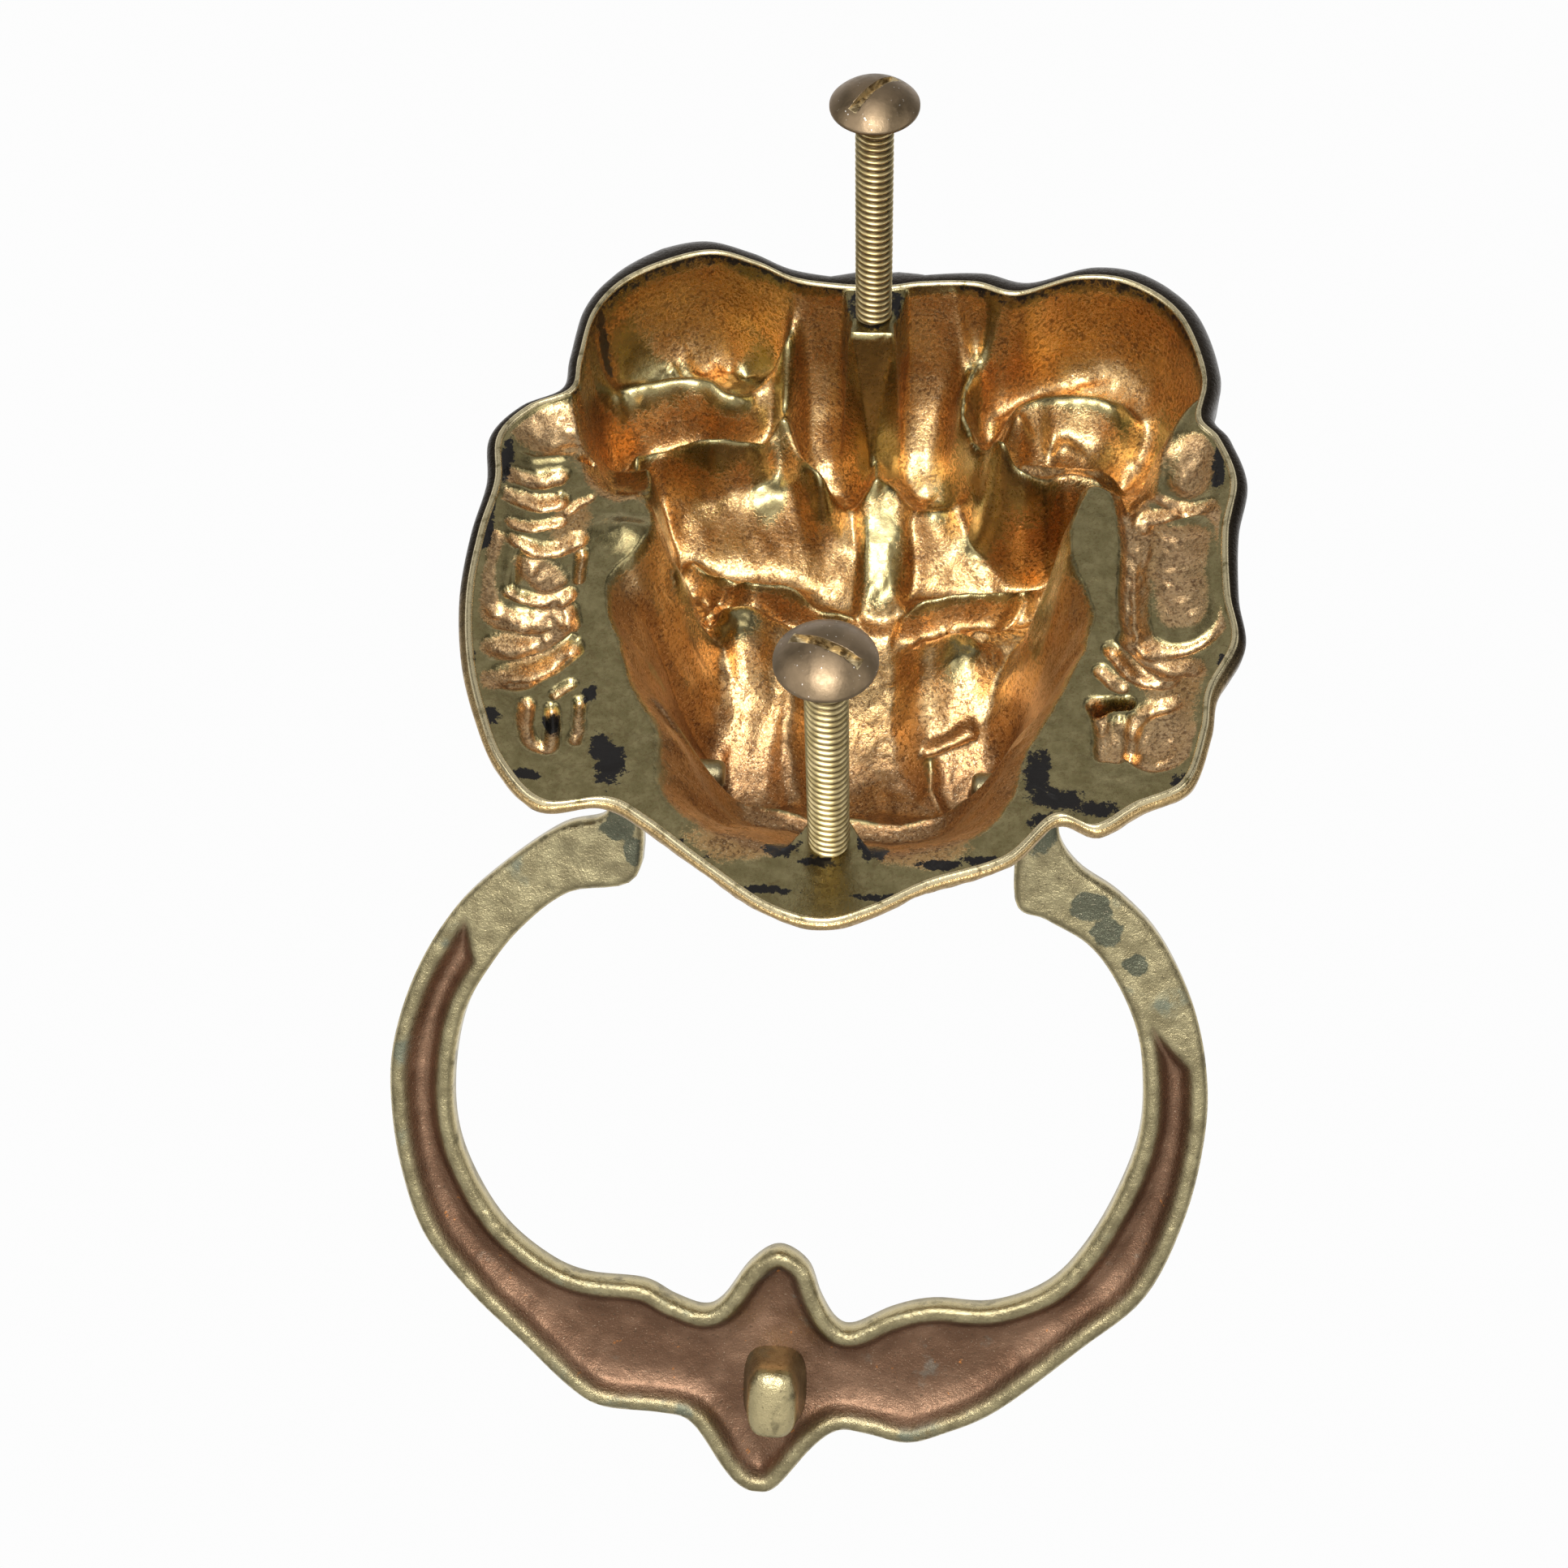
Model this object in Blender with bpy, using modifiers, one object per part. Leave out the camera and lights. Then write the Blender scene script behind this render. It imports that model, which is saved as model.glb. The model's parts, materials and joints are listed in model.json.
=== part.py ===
"""Cast brass lion's head door knocker: hollow head, swinging bail and two fixing bolts.

Frame: metres, +Z up. The back of the head lies in the plane y = 0 and the lion looks along -Y.
The origin is midway between the two fixing bolts, and +Y points into the door.
"""
from math import cos, exp, hypot, pi, radians, sin, sqrt

import bmesh
import bpy
from mathutils import Matrix, Vector

MM = 0.001

# Fixing bolts, 1/4 inch by 20 threads to the inch, 2 inches long under the head
BOLT_SPACING = 110 * MM
BOLT_RADIUS = 3.1 * MM
BOLT_LENGTH = 50.8 * MM
BOLT_HEAD_RADIUS = 7.15 * MM
BOLT_HEAD_HEIGHT = 3.4 * MM
BOLT_HEAD_EDGE = 0.5 * MM
BOLT_TIP_CHAMFER = 0.8 * MM
SLOT_WIDTH = 1.5 * MM
SLOT_DEPTH = 1.6 * MM
UPPER_STANDOFF = 43.6 * MM
LOWER_STANDOFF = 39.7 * MM
UPPER_SLOT_TURN = radians(52)
LOWER_SLOT_TURN = radians(-22)

# Head casting
FRONT_OFFSET_MM = 4.2
RIM_WIDTH_MM = 2.6
BOSS_RADIUS = 6.5 * MM
BOSS_DEPTH = 14.5 * MM
BOLT_CLEARANCE = 0.3 * MM
HEAD_ROWS = 22
HEAD_COLUMNS = 84
# Rim of the casting's back, x and z in millimetres, from the top towards +X
RIM_MM = (
    (0, 62), (13, 63), (21, 67), (29, 69.5), (37, 66.5), (44, 61), (48, 53), (49, 42), (49.5, 34.5),
    (56, 30), (60, 23), (59, 13), (60, 2), (60, -11), (58, -24), (54.5, -35), (50, -44.5),
    (43, -51.5), (33.5, -50.5), (27, -54), (18, -61), (8, -68), (0, -70), (-7, -67.5), (-15, -62.5),
    (-26, -57.5), (-33, -49.5), (-39, -51), (-45, -46.5), (-52, -42), (-55, -32), (-56, -24),
    (-60, -14), (-59, -4), (-59, 9), (-60.5, 20), (-58, 29), (-55, 34), (-56, 44), (-52, 58),
    (-44, 65.5), (-35, 66.5), (-24.5, 62), (-17, 64), (-8, 63.5))
# Depth of the hollow down the middle of the face: z, then depth, in millimetres
MIDLINE_MM = (
    (75, 4), (62, 9), (55, 19), (47, 28), (38, 35), (28, 38), (18, 40), (4, 45), (-8, 50),
    (-15, 46), (-22, 42), (-32, 35), (-44, 26), (-56, 16), (-64, 9), (-75, 4))
# Half width of the face at that depth: z, then half width, in millimetres
FACE_WIDTH_MM = (
    (75, 12), (60, 15), (48, 22), (34, 26), (18, 27), (0, 24), (-14, 18), (-30, 12), (-46, 6),
    (-75, 2))
FACE_SIDE_MM = 19.0
FLAT_DEPTH_MM = 7.0
# Hills and dips of the hollow on both sides: height, x, z, half width and half height
SIDE_MOUNDS_MM = ((5, 11, 44, 4.5, 13), (-4, 11, 14, 8, 6), (3, 16, 27, 12, 5), (3, 11, -17, 8, 8))
LOBE_MOUND_MM = (19, 39, 50, 11, 12)
FOREHEAD_MOUND_MM = (-6, 0, 47, 3.5, 12)
# Webs that fill the hollow round the bosses
UPPER_WEB_MM = (12, 0, 57, 7, 9)
LOWER_WEB_MM = (8, 0, -58, 10, 7)
# How far inwards of the rim, as a part of the radius, the skins turn over and bulge
TURN_OVER = 0.16
BULGE_REACH = 0.3
FRONT_BULGE_MM = 4.5
BACK_BULGE_MM = 2.0
ROW_SPREAD = 1.15
KEPT_ROWS = 3

# Bail: it swings about the X axis through PIVOT
PIVOT = Vector((0, -40 * MM, -14.6 * MM))
SWING_OUT = radians(50)
PIN_RADIUS = 2.5 * MM
PIN_HOLE_RADIUS = 3.2 * MM
PIN_TIP_X = 20.5 * MM
HOLE_FROM_X = 17 * MM
HOLE_TO_X = 31 * MM
RING_BACK = -4 * MM
RING_FRONT = 5 * MM
CHANNEL_DEPTH = 3.2 * MM
CHANNEL_RIM_MM = 2.7
NUB_SIZE = Vector((9.5 * MM, 13 * MM, 11 * MM))
NUB_CENTRE_MM = (8.5, -109)
NUB_TOP = -9.5 * MM
NUB_ROUNDING = 2 * MM
NECK_RADIUS = 5.2 * MM
LEFT_NECK_X = (34.3 * MM, 40.0 * MM)
RIGHT_NECK_X = (-28.8 * MM, -35.4 * MM)
# Outline of the bail, x and height above the pivot in millimetres: the outer side from the +X
# end round to the -X end, then the inner side back again
BAIL_OUTER_MM = (
    (40, -1), (40, -7), (47.5, -9.5), (57, -16.5), (65.5, -25), (72, -36.5), (75.8, -49.5),
    (76, -61), (74, -73), (70, -84), (62, -94), (53, -102.5), (44.5, -110.5), (38.5, -113.8),
    (28.5, -114.3), (22.8, -115.8), (17, -124), (14, -127.2), (11, -128.2), (7.5, -127),
    (1.4, -119), (-3, -115.5), (-8, -115.8), (-14.8, -117), (-21, -115), (-30.5, -109.8),
    (-44, -97.5), (-54.5, -87), (-60.3, -72), (-62.6, -57), (-62, -45.5), (-59, -34.5),
    (-53, -23.5), (-46, -16.5), (-39, -12), (-35.4, -7), (-35.4, -1))
BAIL_INNER_MM = (
    (-28.8, -1), (-28.6, -18), (-34, -21.2), (-41, -25), (-46, -31), (-50, -39.3), (-51.7, -48),
    (-51.8, -58), (-49, -68.3), (-44, -79), (-37.8, -86.6), (-28.5, -90.8), (-18.5, -91),
    (-11.5, -93), (-5, -96.5), (-1.8, -95.8), (1, -91.5), (3.5, -85.5), (8.6, -82.7),
    (13.5, -86), (18, -92.8), (21.3, -94.7), (26.5, -93.2), (32, -90.6), (42, -90), (49, -87.2),
    (56.5, -81), (62, -72.3), (65, -63.5), (65.4, -53.3), (63.6, -43), (59.5, -35), (54, -27.5),
    (46, -20.8), (34.5, -17.3), (34.3, -1))
CHANNEL_OUTER = slice(4, 31)
CHANNEL_INNER = slice(6, 32)

BRASS = {
    "lion_head": ((0.50, 0.30, 0.13), 0.42),
    "knocker_ring": ((0.36, 0.29, 0.18), 0.48),
    "upper_bolt": ((0.38, 0.28, 0.17), 0.34),
    "lower_bolt": ((0.38, 0.28, 0.17), 0.34)}


def empty_scene():
    for old in list(bpy.data.objects):
        bpy.data.objects.remove(old, do_unlink=True)


def make_collection(name):
    group = bpy.data.collections.new(name)
    bpy.context.scene.collection.children.link(group)
    return group


def brass(name):
    colour, roughness = BRASS[name]
    material = bpy.data.materials.new(name)
    material.use_nodes = True
    shader = material.node_tree.nodes["Principled BSDF"]
    shader.inputs["Base Color"].default_value = (*colour, 1)
    shader.inputs["Metallic"].default_value = 1.0
    shader.inputs["Roughness"].default_value = roughness
    return material


def add_object(name, mesh, group):
    thing = bpy.data.objects.new(name, mesh)
    group.objects.link(thing)
    return thing


def object_from_bmesh(name, shape, group):
    mesh = bpy.data.meshes.new(name)
    shape.to_mesh(mesh)
    shape.free()
    return add_object(name, mesh, group)


def hide_cutter(thing):
    thing.hide_render = True
    thing.display_type = 'WIRE'


def combine(thing, tool, operation):
    step = thing.modifiers.new(operation.lower() + "_" + tool.name, 'BOOLEAN')
    step.operation = operation
    step.solver = 'EXACT'
    step.object = tool


def mesh_from_curve(curve, group):
    """Replace a curve object by a welded mesh object of the same name and place."""
    bpy.context.view_layer.update()
    evaluated = curve.evaluated_get(bpy.context.evaluated_depsgraph_get())
    mesh = bpy.data.meshes.new_from_object(evaluated)
    shape = bmesh.new()
    shape.from_mesh(mesh)
    bmesh.ops.remove_doubles(shape, verts=shape.verts, dist=0.00001)
    bmesh.ops.recalc_face_normals(shape, faces=shape.faces)
    shape.to_mesh(mesh)
    shape.free()
    place = curve.matrix_world.copy()
    name = curve.name
    bpy.data.objects.remove(curve, do_unlink=True)
    thing = add_object(name, mesh, group)
    thing.matrix_world = place
    return thing


def catmull(p0, p1, p2, p3, t):
    """A smooth value between p1 and p2."""
    a = 2 * p1
    b = p2 - p0
    c = 2 * p0 - 5 * p1 + 4 * p2 - p3
    d = 3 * p1 - p0 - 3 * p2 + p3
    return 0.5 * (a + (b + (c + d * t) * t) * t)


def smooth_loop(points, steps):
    """Points along a smooth closed curve through the given points."""
    curve = []
    count = len(points)
    for i in range(count):
        four = [Vector(points[(i + k) % count]) for k in (-1, 0, 1, 2)]
        curve += [catmull(*four, k / steps) for k in range(steps)]
    return curve


def table(rows, at):
    """Smooth look-up in rows of position and value, with falling positions."""
    at = min(max(at, rows[-1][0]), rows[0][0])
    i = 0
    while i < len(rows) - 2 and at < rows[i + 1][0]:
        i += 1
    t = (rows[i][0] - at) / (rows[i][0] - rows[i + 1][0])
    t = t * t * (3 - 2 * t)
    return rows[i][1] * (1 - t) + rows[i + 1][1] * t


def rim_radius(angle, loop):
    """Distance from the origin to the rim in the direction of angle."""
    best = None
    for (x0, z0), (x1, z1) in zip(loop, loop[1:] + loop[:1]):
        side0 = x0 * sin(angle) - z0 * cos(angle)
        side1 = x1 * sin(angle) - z1 * cos(angle)
        if side0 * side1 > 0 or side0 == side1:
            continue
        t = side0 / (side0 - side1)
        reach = (x0 + (x1 - x0) * t) * cos(angle) + (z0 + (z1 - z0) * t) * sin(angle)
        if reach > 0 and (best is None or reach > best):
            best = reach
    return best


def mound(x, z, height, centre_x, centre_z, size_x, size_z):
    """A smooth round hill."""
    across = (x - centre_x) / size_x
    along = (z - centre_z) / size_z
    return height * exp(-along * along - across * across)


def hollow_depth(x, z):
    """Depth in millimetres of the hollow behind the lion's face and mane."""
    width = table(FACE_WIDTH_MM, z)
    side = min(max((width + FACE_SIDE_MM - abs(x)) / FACE_SIDE_MM, 0), 1)
    side = side * side * (3 - 2 * side)
    depth = FLAT_DEPTH_MM + (table(MIDLINE_MM, z) - FLAT_DEPTH_MM) * side
    for way in (-1, 1):
        depth += mound(way * x, z, *LOBE_MOUND_MM) * (1 - side)
        for hill in SIDE_MOUNDS_MM:
            depth += mound(way * x, z, *hill)
    depth += mound(x, z, *FOREHEAD_MOUND_MM)
    return depth


def web_height(x, z):
    """How far the webs round the two bosses fill the hollow, in millimetres."""
    return mound(x, z, *UPPER_WEB_MM) + mound(x, z, *LOWER_WEB_MM)


def head_sheet(shape, loop, inset, extra_depth, bulge, webs):
    """One skin of the head: rings of vertices from the rim to the middle."""
    rings = []
    for row in range(HEAD_ROWS):
        inward = (row / HEAD_ROWS) ** ROW_SPREAD
        ring = []
        for column in range(HEAD_COLUMNS):
            angle = 2 * pi * column / HEAD_COLUMNS
            radius = (rim_radius(angle, loop) - inset) * (1 - inward)
            radius += bulge * max(sin(angle), 0) * sin(pi * min(inward / BULGE_REACH, 1))
            x = radius * cos(angle)
            z = radius * sin(angle)
            edge = min(inward / TURN_OVER, 1)
            rise = sqrt(1 - (1 - edge) ** 2)
            depth = (hollow_depth(x, z) + extra_depth - webs * web_height(x, z)) * rise
            ring.append(shape.verts.new((x * MM, -depth * MM, z * MM)))
        rings.append(ring)
    middle = shape.verts.new((0, -(hollow_depth(0, 0) + extra_depth) * MM, 0))
    return rings, middle


def skin_faces(shape, rings, middle):
    for outer, inner in zip(rings, rings[1:]):
        for k in range(HEAD_COLUMNS):
            n = (k + 1) % HEAD_COLUMNS
            shape.faces.new((outer[k], outer[n], inner[n], inner[k]))
    for k in range(HEAD_COLUMNS):
        shape.faces.new((rings[-1][k], rings[-1][(k + 1) % HEAD_COLUMNS], middle))


def rings_inside(rings):
    """The vertices that are not on the rim or next to it."""
    return [vertex for ring in rings[KEPT_ROWS:] for vertex in ring]


def make_head_shell(group):
    """The thin casting: a front skin and a back skin joined along the rim."""
    loop = [(p.x, p.y) for p in smooth_loop(RIM_MM, 5)]
    shape = bmesh.new()
    front, front_middle = head_sheet(shape, loop, 0.0, FRONT_OFFSET_MM, FRONT_BULGE_MM, 0)
    back, back_middle = head_sheet(shape, loop, RIM_WIDTH_MM, 0.0, BACK_BULGE_MM, 1)
    skin_faces(shape, front, front_middle)
    skin_faces(shape, back, back_middle)
    for k in range(HEAD_COLUMNS):
        n = (k + 1) % HEAD_COLUMNS
        shape.faces.new((front[0][n], front[0][k], back[0][k], back[0][n]))
    for _ in range(2):
        bmesh.ops.smooth_vert(shape, verts=rings_inside(front) + rings_inside(back), factor=0.5,
                              use_axis_x=True, use_axis_y=True, use_axis_z=True)
    bmesh.ops.recalc_face_normals(shape, faces=shape.faces)
    return object_from_bmesh("lion_head", shape, group)


def cylinder(name, radius, start, end, group, sides=24):
    """A closed cylinder between two points."""
    axis = end - start
    turn = axis.to_track_quat('Z', 'Y').to_matrix().to_4x4()
    place = Matrix.Translation((start + end) / 2) @ turn
    shape = bmesh.new()
    bmesh.ops.create_cone(shape, cap_ends=True, segments=sides, radius1=radius, radius2=radius,
                          depth=axis.length, matrix=place)
    return object_from_bmesh(name, shape, group)


def make_head(parts, cutters):
    head = make_head_shell(parts)
    for name, way, standoff in (("upper", 1, UPPER_STANDOFF), ("lower", -1, LOWER_STANDOFF)):
        z = way * BOLT_SPACING / 2
        boss = cylinder(name + "_boss", BOSS_RADIUS, Vector((0, 0, z)),
                        Vector((0, -BOSS_DEPTH, z)), cutters)
        reach = BOLT_LENGTH - standoff + BOLT_CLEARANCE
        hole = cylinder(name + "_bolt_hole", BOLT_RADIUS + BOLT_CLEARANCE,
                        Vector((0, 10 * MM, z)), Vector((0, -reach, z)), cutters)
        combine(head, boss, 'UNION')
        combine(head, hole, 'DIFFERENCE')
        hide_cutter(boss)
        hide_cutter(hole)
    for name, way in (("left", 1), ("right", -1)):
        hole = cylinder(name + "_pivot_hole", PIN_HOLE_RADIUS,
                        PIVOT + Vector((way * HOLE_FROM_X, 0, 0)),
                        PIVOT + Vector((way * HOLE_TO_X, 0, 0)), cutters)
        combine(head, hole, 'DIFFERENCE')
        hide_cutter(hole)
    head.data.shade_smooth()
    return head


def flat_outline(name, points, low, high, group):
    """A flat plate with the given outline, x and y in millimetres, between two heights."""
    data = bpy.data.curves.new(name, 'CURVE')
    data.dimensions = '2D'
    data.fill_mode = 'BOTH'
    data.extrude = (high - low) / 2
    spline = data.splines.new('POLY')
    spline.points.add(len(points) - 1)
    for knot, (x, y) in zip(spline.points, points):
        knot.co = (x * MM, y * MM, 0, 1)
    spline.use_cyclic_u = True
    plate = add_object(name, data, group)
    plate.location = (0, 0, (low + high) / 2)
    return mesh_from_curve(plate, group)


def inset(points, distance):
    """Move one side of an outline inwards; its points run with the body on their right."""
    moved = []
    last = len(points) - 1
    for i in range(last + 1):
        x0, y0 = points[max(i - 1, 0)]
        x1, y1 = points[min(i + 1, last)]
        length = hypot(x1 - x0, y1 - y0)
        across = ((y1 - y0) / length, -(x1 - x0) / length)
        moved.append((points[i][0] + across[0] * distance, points[i][1] + across[1] * distance))
    return moved


def smooth_run(points, steps):
    """Points along a smooth open curve through the given points."""
    curve = []
    last = len(points) - 1
    for i in range(last):
        four = [Vector(points[min(max(i + k, 0), last)]) for k in (-1, 0, 1, 2)]
        curve += [tuple(catmull(*four, k / steps)) for k in range(steps)]
    return curve + [points[last]]


def make_ring(parts, cutters):
    outline = smooth_run(BAIL_OUTER_MM, 3) + smooth_run(BAIL_INNER_MM, 3)
    ring = flat_outline("knocker_ring", outline, RING_BACK, RING_FRONT, parts)
    groove = inset(smooth_run(BAIL_OUTER_MM[CHANNEL_OUTER], 3), CHANNEL_RIM_MM)
    groove += inset(smooth_run(BAIL_INNER_MM[CHANNEL_INNER], 3), CHANNEL_RIM_MM)
    channel = flat_outline("channel", groove, RING_BACK - 5 * MM, RING_BACK + CHANNEL_DEPTH,
                           cutters)
    nub_shape = bmesh.new()
    nub_middle = (NUB_CENTRE_MM[0] * MM, NUB_CENTRE_MM[1] * MM, NUB_TOP + NUB_SIZE.z / 2)
    size = Matrix.Diagonal((*NUB_SIZE, 1))
    bmesh.ops.create_cube(nub_shape, size=1, matrix=Matrix.Translation(nub_middle) @ size)
    bmesh.ops.bevel(nub_shape, geom=nub_shape.edges[:], offset=NUB_ROUNDING, segments=3,
                    affect='EDGES', profile=0.5)
    nub = object_from_bmesh("striker_nub", nub_shape, cutters)
    tools = [(channel, 'DIFFERENCE'), (nub, 'UNION')]
    for name, way, neck_x in (("left", 1, LEFT_NECK_X), ("right", -1, RIGHT_NECK_X)):
        low = Vector((neck_x[0], 0, 0))
        high = Vector((neck_x[1], 0, 0))
        neck = cylinder(name + "_neck", NECK_RADIUS, low, high, cutters)
        pin = cylinder(name + "_pin", PIN_RADIUS, Vector((way * PIN_TIP_X, 0, 0)), high, cutters)
        tools += [(neck, 'UNION'), (pin, 'UNION')]
    place = Matrix.Translation(PIVOT) @ Matrix.Rotation(pi / 2 - SWING_OUT, 4, 'X')
    ring.matrix_world = place @ ring.matrix_world
    for tool, operation in tools:
        tool.matrix_world = place @ tool.matrix_world
        combine(ring, tool, operation)
        hide_cutter(tool)
    ring.data.shade_smooth()
    return ring


def bolt_profile(standoff):
    """Half section of a mushroom-head bolt, from the crown down to the tip."""
    sphere = (BOLT_HEAD_RADIUS ** 2 + BOLT_HEAD_HEIGHT ** 2) / (2 * BOLT_HEAD_HEIGHT)
    crown = standoff + BOLT_HEAD_EDGE + BOLT_HEAD_HEIGHT
    points = []
    for k in range(8):
        radius = BOLT_HEAD_RADIUS * k / 7
        points.append((radius, crown - sphere + sqrt(sphere ** 2 - radius ** 2)))
    points.append((BOLT_HEAD_RADIUS, standoff))
    points.append((BOLT_RADIUS, standoff))
    points.append((BOLT_RADIUS, standoff - BOLT_LENGTH + BOLT_TIP_CHAMFER))
    points.append((BOLT_RADIUS - BOLT_TIP_CHAMFER, standoff - BOLT_LENGTH))
    points.append((0, standoff - BOLT_LENGTH))
    return points


def make_bolt(name, z, standoff, slot_turn, parts, cutters):
    mesh = bpy.data.meshes.new(name)
    profile = bolt_profile(standoff)
    edges = [(k, k + 1) for k in range(len(profile) - 1)]
    mesh.from_pydata([(radius, 0, height) for radius, height in profile], edges, [])
    bolt = add_object(name, mesh, parts)
    turned = bolt.modifiers.new("turned", 'SCREW')
    turned.angle = 2 * pi
    turned.steps = 28
    turned.render_steps = 28
    turned.use_merge_vertices = True
    turned.merge_threshold = 0.00001
    slot_shape = bmesh.new()
    top = standoff + BOLT_HEAD_EDGE + BOLT_HEAD_HEIGHT
    size = Matrix.Diagonal((4 * BOLT_HEAD_RADIUS, SLOT_WIDTH, 2 * SLOT_DEPTH, 1))
    turn = Matrix.Rotation(slot_turn, 4, 'Z')
    bmesh.ops.create_cube(slot_shape, size=1, matrix=Matrix.Translation((0, 0, top)) @ turn @ size)
    slot = object_from_bmesh(name + "_slot", slot_shape, cutters)
    place = Matrix.Translation((0, 0, z)) @ Matrix.Rotation(-pi / 2, 4, 'X')
    bolt.matrix_world = place
    slot.matrix_world = place
    combine(bolt, slot, 'DIFFERENCE')
    hide_cutter(slot)
    bolt.data.shade_smooth()
    return bolt


def main():
    empty_scene()
    parts = make_collection("door_knocker")
    cutters = make_collection("cutters")
    head = make_head(parts, cutters)
    ring = make_ring(parts, cutters)
    upper = make_bolt("upper_bolt", BOLT_SPACING / 2, UPPER_STANDOFF, UPPER_SLOT_TURN, parts,
                      cutters)
    lower = make_bolt("lower_bolt", -BOLT_SPACING / 2, LOWER_STANDOFF, LOWER_SLOT_TURN, parts,
                      cutters)
    for thing in (head, ring, upper, lower):
        thing.data.materials.append(brass(thing.name))


main()
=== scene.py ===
"""Looks of the cast brass lion's head door knocker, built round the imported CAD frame.

Metres, +Z up. The back of the head is the plane y = 0, the lion looks along -Y and the two
fixing bolts stand out along +Y. Reliefs are worked out in millimetres as depths in front of y = 0.
"""
import json
from math import cos, pi, radians, sin, sqrt

import bmesh
import bpy
import numpy as np
from mathutils import Matrix, Vector
from mathutils.geometry import delaunay_2d_cdt


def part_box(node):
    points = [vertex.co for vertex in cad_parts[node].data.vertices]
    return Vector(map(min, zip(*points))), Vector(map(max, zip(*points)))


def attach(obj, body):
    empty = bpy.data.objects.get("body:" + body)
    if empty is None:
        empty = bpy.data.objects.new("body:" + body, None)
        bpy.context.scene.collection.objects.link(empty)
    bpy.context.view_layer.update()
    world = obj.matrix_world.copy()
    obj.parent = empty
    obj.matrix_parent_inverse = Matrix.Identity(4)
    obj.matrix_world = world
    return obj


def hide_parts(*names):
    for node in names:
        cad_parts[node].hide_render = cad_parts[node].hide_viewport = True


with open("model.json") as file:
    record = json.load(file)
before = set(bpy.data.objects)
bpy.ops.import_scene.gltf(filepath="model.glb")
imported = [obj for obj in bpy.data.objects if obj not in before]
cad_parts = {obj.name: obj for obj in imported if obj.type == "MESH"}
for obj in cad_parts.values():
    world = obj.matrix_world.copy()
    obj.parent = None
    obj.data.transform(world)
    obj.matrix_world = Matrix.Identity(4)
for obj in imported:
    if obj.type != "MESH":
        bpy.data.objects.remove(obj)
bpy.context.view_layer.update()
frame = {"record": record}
MM = 0.001

# ---------------------------------------------------------------- dimensions, millimetres

JOINT = frame["record"]["behaviour"]["joints"][0]
PIVOT = Vector(JOINT["pos_m"])
SWING_OUT = radians(50)
UPPER_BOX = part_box("upper_bolt")
LOWER_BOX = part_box("lower_bolt")
UPPER_Z = (UPPER_BOX[0][2] + UPPER_BOX[1][2]) / 2 / MM
LOWER_Z = (LOWER_BOX[0][2] + LOWER_BOX[1][2]) / 2 / MM
UPPER_SLOT_TURN = radians(-52)
LOWER_SLOT_TURN = radians(22)

THREAD_PITCH = 1.27
THREAD_RADIUS = 3.1
THREAD_DEPTH = 0.62
THREAD_SIDES = 44
ROWS_PER_THREAD = 12
BOLT_HEAD_RADIUS = 7.15
BOLT_HEAD_HEIGHT = 3.4
BOLT_HEAD_EDGE = 0.5
BOLT_HEAD_SIDES = 96
SLOT_WIDTH = 1.5
SLOT_DEPTH = 1.6
SLOT_STEPS = 40

# The casting is a grid of columns round the origin and rows from the front to the hollow
HEAD_COLUMNS = 720
FRONT_ROWS = 200
LIP_ROWS = 7
HOLLOW_ROWS = 240
LIP = 0.6
GRID_STEP = 0.4
CASTING_WALL = 2.6
# Parts of the radius: where the front rises, where the hollow falls, where the hollow undercuts
FRONT_EDGE = 0.17
HOLLOW_EDGE = 0.13
UNDERCUT_END = 0.26
# Part of the front's edge that the rounding outside the rim takes up
ROLL_PART = 0.35
# Radius of that rounding: direction in degrees from +X towards +Z, radius
OUTER_ROLL = (
    (-180, 1.6), (-150, 0.9), (-120, 0.5), (-90, 0.4), (-40, 0.7), (0, 1.4), (30, 1.8), (45, 2.6),
    (54, 4), (62, 7.5), (74, 6.5), (83, 5), (87, 9), (93, 9), (97, 5), (106, 6.5), (118, 7.5),
    (128, 5), (140, 3.6), (155, 2.2), (180, 1.6))

# Rim of the casting's back, x and z, from the top towards +X
RIM = (
    (0, 62), (13, 63), (21, 67), (29, 69.5), (37, 66.5), (44, 61), (48, 53), (49, 42),
    (49.5, 34.5), (56, 30), (60, 23), (59, 13), (60, 2), (60, -11), (58, -24), (54.5, -35),
    (50, -44.5), (43, -51.5), (33.5, -50.5), (27, -54), (18, -61), (8, -68), (0, -70),
    (-7, -67.5), (-15, -62.5), (-26, -57.5), (-33, -49.5), (-39, -51), (-45, -46.5), (-52, -42),
    (-55, -32), (-56, -24), (-60, -14), (-59, -4), (-59, 9), (-60.5, 20), (-58, 29), (-55, 34),
    (-56, 44), (-52, 58), (-44, 65.5), (-35, 66.5), (-24.5, 62), (-17, 64), (-8, 63.5))

# Depths of the hollow, z and depth: down the nose, down the cheeks, and the flats round the face
NOSE_DEPTH = (
    (75, 3), (64, 4), (60, 9), (55, 18), (50, 26), (45, 29), (40, 29), (34, 32.6), (27, 37),
    (21.5, 40.5), (17, 41.5), (10, 43), (4, 44.5), (-4, 47.5), (-10, 49), (-16, 48), (-22, 43),
    (-28, 34), (-34, 25.5), (-44, 17), (-52, 9.5), (-58, 3), (-75, 1))
CHEEK_DEPTH = (
    (75, 3), (64, 4), (60, 9), (55, 17), (50, 23), (45, 26), (40, 29), (35, 33), (30, 36.5),
    (26, 37.5), (22, 36), (16, 36), (10, 36.5), (4, 38), (-4, 41), (-10, 43.5), (-16, 45.5),
    (-21, 42), (-28, 32), (-33, 25), (-44, 15), (-52, 8), (-58, 2.5), (-75, 1))
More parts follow.
